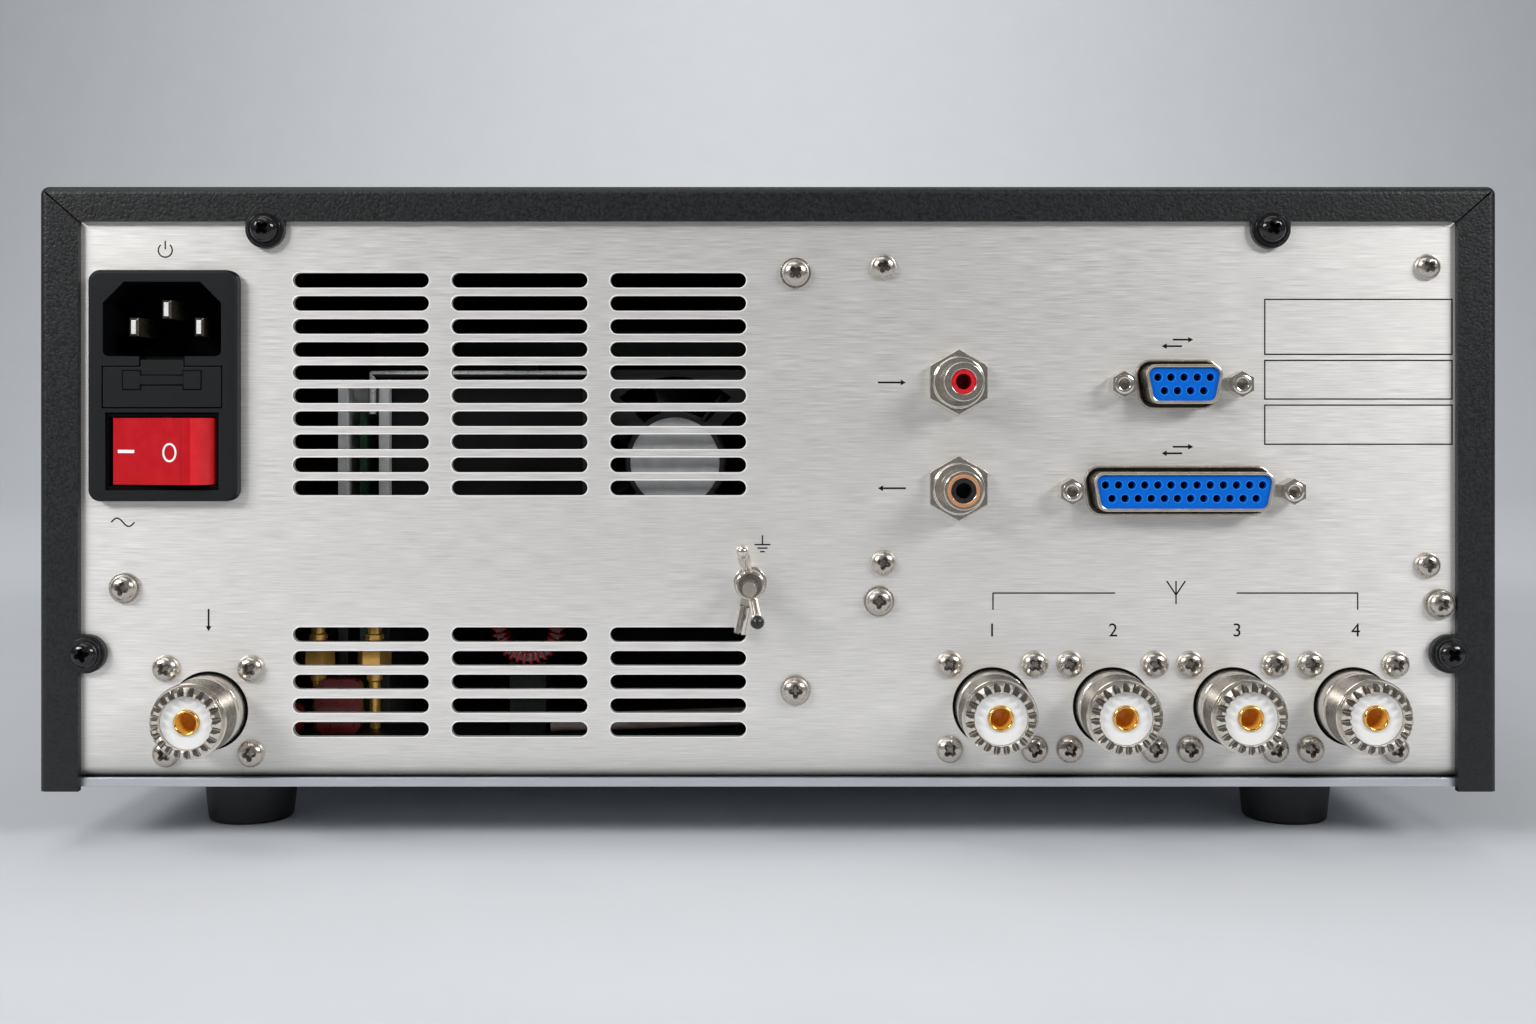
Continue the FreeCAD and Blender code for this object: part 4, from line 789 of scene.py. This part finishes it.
def make_inlet():
    dress("inlet_housing", MOULDED, 0.2)
    blades = dress("inlet_blades", ROD, 0.12).data
    # Painted shade: the blades' sides take the dark metal; only their ends keep the bright finish.
    blades.materials.append(SHELL_SHADE)
    mark_faces(blades, lambda face: face.normal.y > -0.9)
    dress("fuse_drawer", MOULDED, 0.15)
    dress("fuse_link", GLASS_TUBE)
    rocker = dress("power_rocker", RED, 0.35, 3).data
    # Painted highlight: faces of the raised end that turn right and out take the lighter red.
    rocker.materials.append(RED_LIT_END)
    mark_faces(rocker, lambda face: face.normal.x > 0.15 and face.normal.y < -0.2)
    low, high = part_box("inlet_housing")
    skin = INLET_SKIN * MM
    # Painted shade: the inlet's inside, behind a thin skin, takes the black.
    darken_inside("inlet_housing", low + Vector([skin] * 3),
                  Vector((high.x - skin, FACE_Y + INLET_DEPTH * MM, high.z - skin)), SHADE_BLACK)
    low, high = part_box("fuse_drawer")
    middle_x = (low.x + high.x) / 2 / MM
    mark_z = low.z / MM + FUSE_MARK_HEIGHT
    # Painted shade: a black border, a little larger and lower than the raised sign, outlines it.
    for name, grow, rise, edge, finish in (("fuse_mark_shade_border", 0.27, 0.03, 0.02, SHADE_BLACK),
                                           ("fuse_mark", 0.0, 0.22, 0.08, MOULDED)):
        bm = bmesh.new()
        for x0, x1, half in FUSE_MARK:
            block(bm, (middle_x + x0 - grow, -rise, mark_z - half - grow),
                  (middle_x + x1 + grow, 0.1, mark_z + half + grow))
        bmesh.ops.transform(bm, matrix=placed((0, low.y, 0)), verts=bm.verts)
        piece = add_piece(name, finished_mesh(bm), finish, body="drawer")
        piece.modifiers.new("edge", "BEVEL").width = edge * MM


def make_rocker_marks():
    """White dash and ring on the rocker's flat face."""
    mesh = nodes["power_rocker"].data
    largest = max((p for p in mesh.polygons if p.normal.y < -0.9), key=lambda p: p.area)
    normal = largest.normal.copy()
    across = Vector((-normal.y, normal.x, 0))
    flat = [p for p in mesh.polygons if (p.normal - normal).length < 0.001
            and abs((p.center - largest.center).dot(normal)) < 0.01 * MM]
    corners = [mesh.vertices[i].co for p in flat for i in p.vertices]
    crease = max(corners, key=lambda c: c.dot(across))
    low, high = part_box("power_rocker")
    middle_z = (low.z + high.z) / 2

    def on_rocker(u, z):
        point = crease + across * u * MM + normal * 0.03 * MM
        return Vector((point.x, point.y, middle_z + z * MM))

    bm = bmesh.new()
    u0, u1, z0, z1 = DASH
    bm.faces.new([bm.verts.new(on_rocker(u, z)) for u, z in ((u0, z0), (u1, z0), (u1, z1), (u0, z1))])
    outer, inner = [
        [bm.verts.new(on_rocker(RING_PLACE[0] + (RING_SIZE[0] - inset) * math.cos(a),
                                RING_PLACE[1] + (RING_SIZE[1] - inset) * math.sin(a)))
         for a in round_angles(RING_STEPS)] for inset in (0, RING_STROKE)]
    bridge(bm, outer, inner)
    made = bmesh.ops.extrude_face_region(bm, geom=list(bm.faces))
    lifted = [g for g in made["geom"] if isinstance(g, bmesh.types.BMVert)]
    bmesh.ops.translate(bm, verts=lifted, vec=normal * 0.04 * MM)
    add_piece("rocker_marks", finished_mesh(bm), PAINT, body="rocker")


# ---- Ground terminal ----
WING_ANGLE = -78.0
WING_REACH = 7.6
WING_RISE = 3.95
WING_RUN = 5.0
HUB_BEHIND_TIPS = 4.2
STUD_END_LENGTH = 8.0
FLAT_REACH = 6.0
FLAT_RAISED = -1.55
FLAT_SIZE = (7.0, 1.9, 2.9)
BALL_R = 1.48
BALL_BEHIND_TIPS = 1.4
HUB_LIP = ((2.35, -0.5), (2.35, 0.1), (2.5, 0.24), (2.8, 0.24), (3.0, 0.1), (3.06, -0.3))
HUB_MOUTH = ((1.54, 0.0), (1.54, 0.08), (2.45, 0.08), (2.45, 0.0))


def ball_mesh(move):
    """Ball of radius 1, moved."""
    bm = bmesh.new()
    bmesh.ops.create_icosphere(bm, subdivisions=4, radius=1.0)
    bmesh.ops.transform(bm, matrix=move, verts=bm.verts)
    return finished_mesh(bm)


def make_ground():
    for node in ("ground_stud", "ground_washer", "ring_lug"):
        dress(node, NICKEL, 0.15)
    dress("wing_nut", NICKEL, 0.3, 3)
    tips_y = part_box("wing_nut")[0].y
    axis = mounts["ground_stud_end"]
    hub = Vector((axis.x, tips_y + HUB_BEHIND_TIPS * MM, axis.z))
    mouth = Vector((axis.x, min(hub.y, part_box("ground_stud")[0].y + STUD_END_LENGTH * MM), axis.z))
    # The flat of the upper wing follows the wing's sloping edge.
    upward = math.radians(WING_ANGLE + 180)
    flat = (Matrix.Translation(hub) @ Matrix.Rotation(-upward, 4, "Y")
            @ Matrix.Translation(Vector((FLAT_REACH, FLAT_RAISED, 0)) * MM)
            @ Matrix.Rotation(-math.atan2(WING_RISE, WING_RUN), 4, "Z")
            @ Matrix.Diagonal([length / 2 * MM for length in FLAT_SIZE] + [1]))
    # Painted reflection: a black ball on the end of the lower wing stands in for the dark floor that the
    # wing's tip reflects.
    turn = math.radians(WING_ANGLE)
    ball = Matrix.Translation((axis.x + WING_REACH * MM * math.cos(turn), tips_y + BALL_BEHIND_TIPS * MM,
                               axis.z + WING_REACH * MM * math.sin(turn))) @ Matrix.Scale(BALL_R * MM, 4)
    for name, mesh, finish in (
        ("hub_lip", placed_copies(turned(HUB_LIP), [hub]), NICKEL),
        # The hub's mouth is a dark ring of painted shade round the stud.
        ("hub_mouth", placed_copies(turned(HUB_MOUTH, closed=True), [mouth]), GROOVE_SHADE),
        ("wing_flat", ball_mesh(flat), NICKEL),
        ("wing_tip_dark_reflection", ball_mesh(ball), SMOOTH_BLACK),
    ):
        add_piece(name, mesh, finish, body="wing_nut")


# ---- Printed marks ----
# Places on the panel in x and z, strokes from one end to the other.
LINE = 0.30
INK_THICKNESS = 0.02
INK_OUT = 0.012
BRACKET = ((48.2, 55.0, 74.5, 55.0), (100.6, 55.0, 126.7, 55.0), (48.3, 55.0, 48.3, 51.4),
           (126.6, 55.0, 126.6, 51.4))
NOTICES = ((106.5, 106.1, 147.0, 118.2), (106.5, 96.5, 147.0, 105.1), (106.5, 86.8, 147.0, 95.5))
AERIAL = ((87.6, 52.6, 87.6, 57.6), (87.6, 54.6, 85.6, 57.6), (87.6, 54.6, 89.6, 57.6))
JACK_ARROWS = ((23.6, 100.2, 29.6, 100.2), (29.6, 77.5, 23.6, 77.5))
INPUT_ARROW = (51.6, 46.8)
PORT_SIGNS = ((87.9, 109.4), (87.9, 86.4))
EARTH = (-1.2, 65.4)
MAINS_WAVE = (-141.0, 70.2)
POWER = (-129.4, 128.6)
NUMERALS = ((48.1, "1"), (74.1, "2"), (100.7, "3"), (126.2, "4"))
NUMERAL_Z = 46.9
NUMERAL_HEIGHT = 2.9


def bar(x0, z0, x1, z1, width=LINE):
    """Outline of a straight stroke between two points."""
    a, b = Vector((x0, z0)), Vector((x1, z1))
    along = (b - a).normalized()
    side = Vector((-along.y, along.x)) * width / 2
    return [tuple(a - side), tuple(b - side), tuple(b + side), tuple(a + side)]


def bars(*points):
    """Shapes of the straight strokes through some points, each a list of one outline."""
    return [[bar(*a, *b)] for a, b in zip(points, points[1:])]


def frame_outlines(x0, z0, x1, z1):
    """Outer and inner outline of a box drawn in lines."""
    return [[(x0 + i, z0 + i), (x1 - i, z0 + i), (x1 - i, z1 - i), (x0 + i, z1 - i)] for i in (0, LINE)]


def arrow(x0, z0, x1, z1, head=1.1):
    """Shapes of an arrow's shaft and head."""
    a, b = Vector((x0, z0)), Vector((x1, z1))
    along = (b - a).normalized()
    side = Vector((-along.y, along.x)) * head * 0.55
    neck = b - along * head
    return [[bar(*a, *neck, LINE * 1.3)], [[tuple(b), tuple(neck + side), tuple(neck - side)]]]


def numeral(x, text):
    """Mesh of a plain numeral at its place in the row, in millimetres."""
    curve = bpy.data.curves.new("numeral", "FONT")
    curve.body = text
    curve.size = NUMERAL_HEIGHT * 1.4
    curve.extrude = 0.01
    curve.align_x = "CENTER"
    curve.align_y = "CENTER"
    mesh = evaluated_mesh(bpy.data.objects.new("numeral", curve))
    mesh.transform(Matrix.Translation((x, 0, NUMERAL_Z)) @ Matrix.Rotation(math.pi / 2, 4, "X"))
    return mesh


def make_marks():
    shapes = [[bar(*ends)] for ends in BRACKET + AERIAL]
    shapes += [frame_outlines(*corners) for corners in NOTICES]
    input_x = COAX_AXES[0].x / MM
    arrows = list(JACK_ARROWS) + [(input_x, INPUT_ARROW[0], input_x, INPUT_ARROW[1])]
    for x, z in PORT_SIGNS:
        arrows += [(x - 1.0, z, x + 3.4, z), (x + 1.0, z - 1.4, x - 3.4, z - 1.4)]
    for ends in arrows:
        shapes += arrow(*ends)
    x, z = EARTH
    shapes += bars((x, z + 2.0), (x, z))
    for k, half in enumerate((1.7, 1.1, 0.5)):
        shapes += bars((x - half, z - 0.75 * k), (x + half, z - 0.75 * k))
    x, z = MAINS_WAVE
    shapes += bars(*((x + 5.0 * i / 16, z + 0.9 * math.sin(math.pi * i / 8)) for i in range(17)))
    x, z = POWER
    ring = [math.radians(40 + 280 * i / 24) for i in range(25)]
    shapes += bars(*((x + 1.5 * math.sin(a), z + 1.5 * math.cos(a)) for a in ring))
    shapes += bars((x, z + 0.2), (x, z + 2.0))
    meshes = [flat_shape(outlines, INK_THICKNESS) for outlines in shapes]
    merged = joined(meshes + [numeral(*row) for row in NUMERALS])
    merged.transform(placed((0, FACE_Y - INK_OUT * MM, 0)))
    add_piece("panel_marks", merged, INK)


# ---- Inside, seen through the slots ----
# Outlines of a connector's stem and of its six-sided nut: radius and height above the floor.
STEM_PROFILE = ((1.3, 33.4), (1.5, 33.6), (1.8, 33.8), (1.8, 35.6), (1.5, 35.8), (1.5, 42.6),
                (2.1, 42.9), (2.1, 44.0), (1.6, 44.3))
NUT_PROFILE = ((0, 36.6), (3.5, 36.6), (3.81, 36.9), (3.81, 41.3), (3.5, 41.6), (0, 41.6))
FAN_LABEL_R = 9.7
TOROID_HOLE_R = 4.4
TOROID_TURNS = 30
WIRE_R = 0.42
WIRE_SIDES = 8


def make_inside():
    for row in (
        ("fan_frame", FAN, 0.3), ("fan_rotor", FAN), ("power_supply_case", SUPPLY),
        ("supply_plates", PLATE, 0.2), ("driver_board", BOARD), ("heat_sink", SINK),
        ("amplifier_board", BOARD), ("power_transistors", PART_BLACK, 0.3), ("antenna_board", BOARD),
        ("antenna_relays", PART_BLACK, 0.3), ("control_board", BOARD), ("input_board", BOARD_BLACK),
        ("dipped_capacitors", DIPPED, 0.5, 3), ("wire_harness", SLEEVE),
    ):
        dress(*row)
    rod = dress("supply_rod", ROD).data
    # Painted shade: the rod's lower and left-facing faces take the supply's dark finish.
    rod.materials.append(SUPPLY)
    mark_faces(rod, lambda face: face.normal.z < -0.05 or face.normal.x < -0.6)
    make_connectors()
    low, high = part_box("fan_frame")
    centre = Vector(((low.x + high.x) / 2, low.y, (low.z + high.z) / 2))
    label = turned([(0, 0.12), (FAN_LABEL_R - 0.1, 0.12), (FAN_LABEL_R, 0.0), (FAN_LABEL_R, -0.02),
                    (0, -0.02)], 64)
    add_piece("fan_label", placed_copies(label, [centre]), LABEL)
    make_toroid()


def make_connectors():
    """Two upright screw-on connectors: a stem with a ring and a collar, and a nut round it."""
    bm = bmesh.new()
    for low, high in solid_boxes("brass_connectors"):
        stem = [(0, low.z / MM), (STEM_PROFILE[0][0], low.z / MM), *STEM_PROFILE,
                (STEM_PROFILE[-1][0], high.z / MM), (0, high.z / MM)]
        stand = (Matrix.Translation(((low.x + high.x) / 2, (low.y + high.y) / 2, 0))
                 @ Matrix.Scale(MM, 4) @ Matrix.Rotation(-math.pi / 2, 4, "X"))
        copy_into(bm, turned(stem, 32), stand)
        copy_into(bm, turned(NUT_PROFILE, 6), stand)
    add_piece("connector_bodies", finished_mesh(bm), BRASS, instead_of=["brass_connectors"])


def make_toroid():
    """Ring core with a wire wound round it in separate turns."""
    low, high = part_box("toroid")
    centre = (low + high) / 2
    inner, outer = TOROID_HOLE_R, (high.x - low.x) / 2 / MM
    half = (high.y - low.y) / 2 / MM
    core = turned([(inner + 1, -half + 1), (inner + 1, half - 1), (outer - 1, half - 1),
                   (outer - 1, -half + 1)], 64, closed=True)
    add_piece("toroid_core", placed_copies(core, [centre]), CORE, instead_of=["toroid"])
    bm = bmesh.new()
    corners = ((inner + 0.55, -half + 0.55), (outer - 0.45, -half + 0.45), (outer - 0.45, half - 0.45),
               (inner + 0.55, half - 0.55))
    for angle in round_angles(TOROID_TURNS):
        radial = Vector((math.cos(angle), 0, math.sin(angle)))
        path = [radial * radius + Vector((0, -out, 0)) for radius, out in corners]
        points = [path[k].lerp(path[(k + 1) % 4], share) for k in range(4) for share in (0.15, 0.5, 0.85)]
        side = radial.cross(Vector((0, 1, 0))).normalized()
        loops = []
        for k, point in enumerate(points):
            tangent = (points[(k + 1) % len(points)] - points[k - 1]).normalized()
            up = tangent.cross(side).normalized()
            loops.append([bm.verts.new(point + (side * math.cos(t) + up * math.sin(t)) * WIRE_R)
                          for t in round_angles(WIRE_SIDES)])
        for a, b in zip(loops, loops[1:] + loops[:1]):
            bridge(bm, a, b)
    mesh = placed_copies(plain_mesh(bm), [centre], crease=60.0)
    add_piece("toroid_winding", mesh, WIRE_RED)


# ---- Enclosure ----
def face_outlines(node, plane_y):
    """Closed outlines of the openings in a flat face that looks out of the rear."""
    bm = bmesh.new()
    bm.from_mesh(nodes[node].data)
    bmesh.ops.remove_doubles(bm, verts=bm.verts, dist=0.001 * MM)
    flat = [f for f in bm.faces if abs(f.normal.y + 1) < 0.001
            and abs(f.calc_center_median().y - plane_y) < 0.02 * MM]
    in_flat = set(flat)
    border = {}
    for face in flat:
        for loop in face.loops:
            if any(f not in in_flat for f in loop.edge.link_faces):
                border[loop.vert] = loop.link_loop_next.vert
    outlines = []
    while border:
        start, vertex = border.popitem()
        outline = [start.co.copy()]
        while vertex in border:
            outline.append(vertex.co.copy())
            vertex = border.pop(vertex)
        outlines.append(outline)
    bm.free()
    return outlines


# Lengths and height that tell a slot from the panel's other openings.
SLOT_LENGTHS = (28, 31)
SLOT_HEIGHT = 4
# Section of a rim: distance away from the slot's edge, and out of the panel.
RIM_PROFILE = ((0.0, -0.25), (0.0, -0.02), (0.05, 0.03), (0.16, 0.04), (0.26, -0.01))


def make_slot_rims():
    """Bright rounded edges of the rear panel's slots."""
    bm = bmesh.new()
    for outline in face_outlines("rear_panel", FACE_Y):
        length, height = (max(p[k] for p in outline) - min(p[k] for p in outline) for k in (0, 2))
        if not SLOT_LENGTHS[0] * MM < length < SLOT_LENGTHS[1] * MM or height > SLOT_HEIGHT * MM:
            continue
        count = len(outline)
        middle = sum(outline, Vector()) / count
        normals = []
        for i, point in enumerate(outline):
            along = outline[(i + 1) % count] - outline[i - 1]
            normal = Vector((along.z, 0, -along.x)).normalized()
            if normal.dot(point - middle) < 0:
                normal.negate()
            normals.append(normal)
        rings = [[bm.verts.new(on_face(p + n * away * MM, out)) for p, n in zip(outline, normals)]
                 for away, out in RIM_PROFILE]
        for a, b in zip(rings, rings[1:]):
            bridge(bm, a, b)
    add_piece("slot_rim_highlights", finished_mesh(bm, 80.0), RIM)


def make_enclosure():
    for row in (
        ("cover", POWDER, 0.45, 3), ("rear_panel", PANEL), ("chassis_tray", MILL, 0.2),
        ("front_panel", FASCIA, 0.2), ("display_window", SMOKED, 0.15), ("display_module", PART_BLACK),
        ("key_board", BOARD), ("rubber_feet", RUBBER, 0.8, 3), ("power_key", KEYCAP, 0.25),
        *((f"band_key_{number}", KEYCAP, 0.25) for number in (1, 2, 3, 4)),
    ):
        dress(*row)
    make_slot_rims()


# ---- Stage, lights and camera: places and sizes in metres, power in watts ----
FLOOR_FADE = (-0.80, -0.28)
FLOOR_NEAR = (0.07, 0.062, 0.055)
SWEEP_HALF = 3.0
SWEEP_NEAR = -2.6
SWEEP_BEND_Y = 1.2
SWEEP_BEND_R = 1.2
SWEEP_TOP = 3.2
# Each light's name, place, the point it is aimed at, width, height and power.
LIGHTS = (
    ("top", (0.0, 0.15, 1.25), (0, 0.12, 0.05), 1.4, 0.7, 4.4),
    ("fore", (-0.42, -0.65, 1.25), (-0.16, -0.25, 0.0), 1.2, 0.5, 4.0),
    ("left", (-1.10, -1.12, 0.82), (-0.05, -0.15, 0.09), 0.8, 0.32, 16.2),
    ("right", (1.10, -1.12, 0.82), (0.05, -0.15, 0.09), 0.8, 0.32, 15.8),
    ("backdrop", (0.0, 0.9, 1.45), (0, 2.3, 0.66), 0.8, 0.4, 17.3),
)
SKY = (0.80, 0.82, 0.85)
SKY_STRENGTH = 0.10
# The photograph's camera: pixels of its picture, millimetres of its place and lens.
IMAGE_WIDTH = 1536
MIDDLE_ROW = 512
HORIZON_ROW = 410
CAMERA_OUT = 360.0
CAMERA_Z = 94.3
LENS = 39.3


def make_stage():
    """Pale floor that darkens towards the camera and curves up into a backdrop."""
    rise = [math.radians(a) for a in range(6, 91, 6)]
    profile = [(SWEEP_NEAR, 0.0), (SWEEP_BEND_Y, 0.0)]
    profile += [(SWEEP_BEND_Y + SWEEP_BEND_R * math.sin(a), SWEEP_BEND_R * (1 - math.cos(a))) for a in rise]
    profile.append((SWEEP_BEND_Y + SWEEP_BEND_R, SWEEP_TOP))
    bm = bmesh.new()
    rows = [[bm.verts.new((x, y, z)) for x in (-SWEEP_HALF, SWEEP_HALF)] for y, z in profile]
    for (a, b), (c, d) in zip(rows, rows[1:]):
        bm.faces.new((a, b, d, c))
    mesh = finished_mesh(bm, 60.0)
    material = surface("sweep", (0.62, 0.64, 0.67), 0.7, mottle=0.01, size=40.0, uneven=0.02)
    tree = material.node_tree
    base_colour = tree.nodes["Principled BSDF"].inputs["Base Color"]
    depth = share_along(tree, "Y", FLOOR_FADE)
    depth.interpolation_type = "SMOOTHSTEP"
    shade = tree.nodes.new("ShaderNodeMix")
    shade.data_type = "RGBA"
    shade.inputs["A"].default_value = (*FLOOR_NEAR, 1)
    tree.links.new(depth.outputs["Result"], shade.inputs["Factor"])
    tree.links.new(base_colour.links[0].from_socket, shade.inputs["B"])
    tree.links.new(shade.outputs["Result"], base_colour)
    mesh.materials.append(material)
    sweep = bpy.data.objects.new("sweep", mesh)
    link(sweep)


def area_light(name, place, target, width, height, power):
    light = bpy.data.lights.new(name, "AREA")
    light.shape = "RECTANGLE"
    light.size = width
    light.size_y = height
    light.energy = power
    holder = bpy.data.objects.new(name, light)
    holder.location = place
    holder.rotation_euler = (Vector(target) - Vector(place)).to_track_quat("-Z", "Y").to_euler()
    link(holder)


def make_light():
    world = bpy.data.worlds.new("studio")
    world.use_nodes = True
    background = world.node_tree.nodes["Background"]
    background.inputs["Color"].default_value = (*SKY, 1)
    background.inputs["Strength"].default_value = SKY_STRENGTH
    bpy.context.scene.world = world
    for row in LIGHTS:
        area_light(*row)
    bpy.context.scene.view_settings.view_transform = "Standard"


def make_camera():
    camera = bpy.data.cameras.new("camera")
    camera.sensor_width = 36.0
    camera.lens = LENS
    camera.clip_start = 0.01
    camera.shift_y = (HORIZON_ROW - MIDDLE_ROW) / IMAGE_WIDTH
    holder = bpy.data.objects.new("camera", camera)
    holder.location = (0, FACE_Y - CAMERA_OUT * MM, CAMERA_Z * MM)
    holder.rotation_euler = (math.pi / 2, 0, 0)
    link(holder)
    bpy.context.scene.camera = holder


make_enclosure()
make_screws()
make_coax()
make_jacks()
make_ports()
make_inlet()
make_rocker_marks()
make_ground()
make_marks()
make_inside()
make_stage()
make_light()
make_camera()
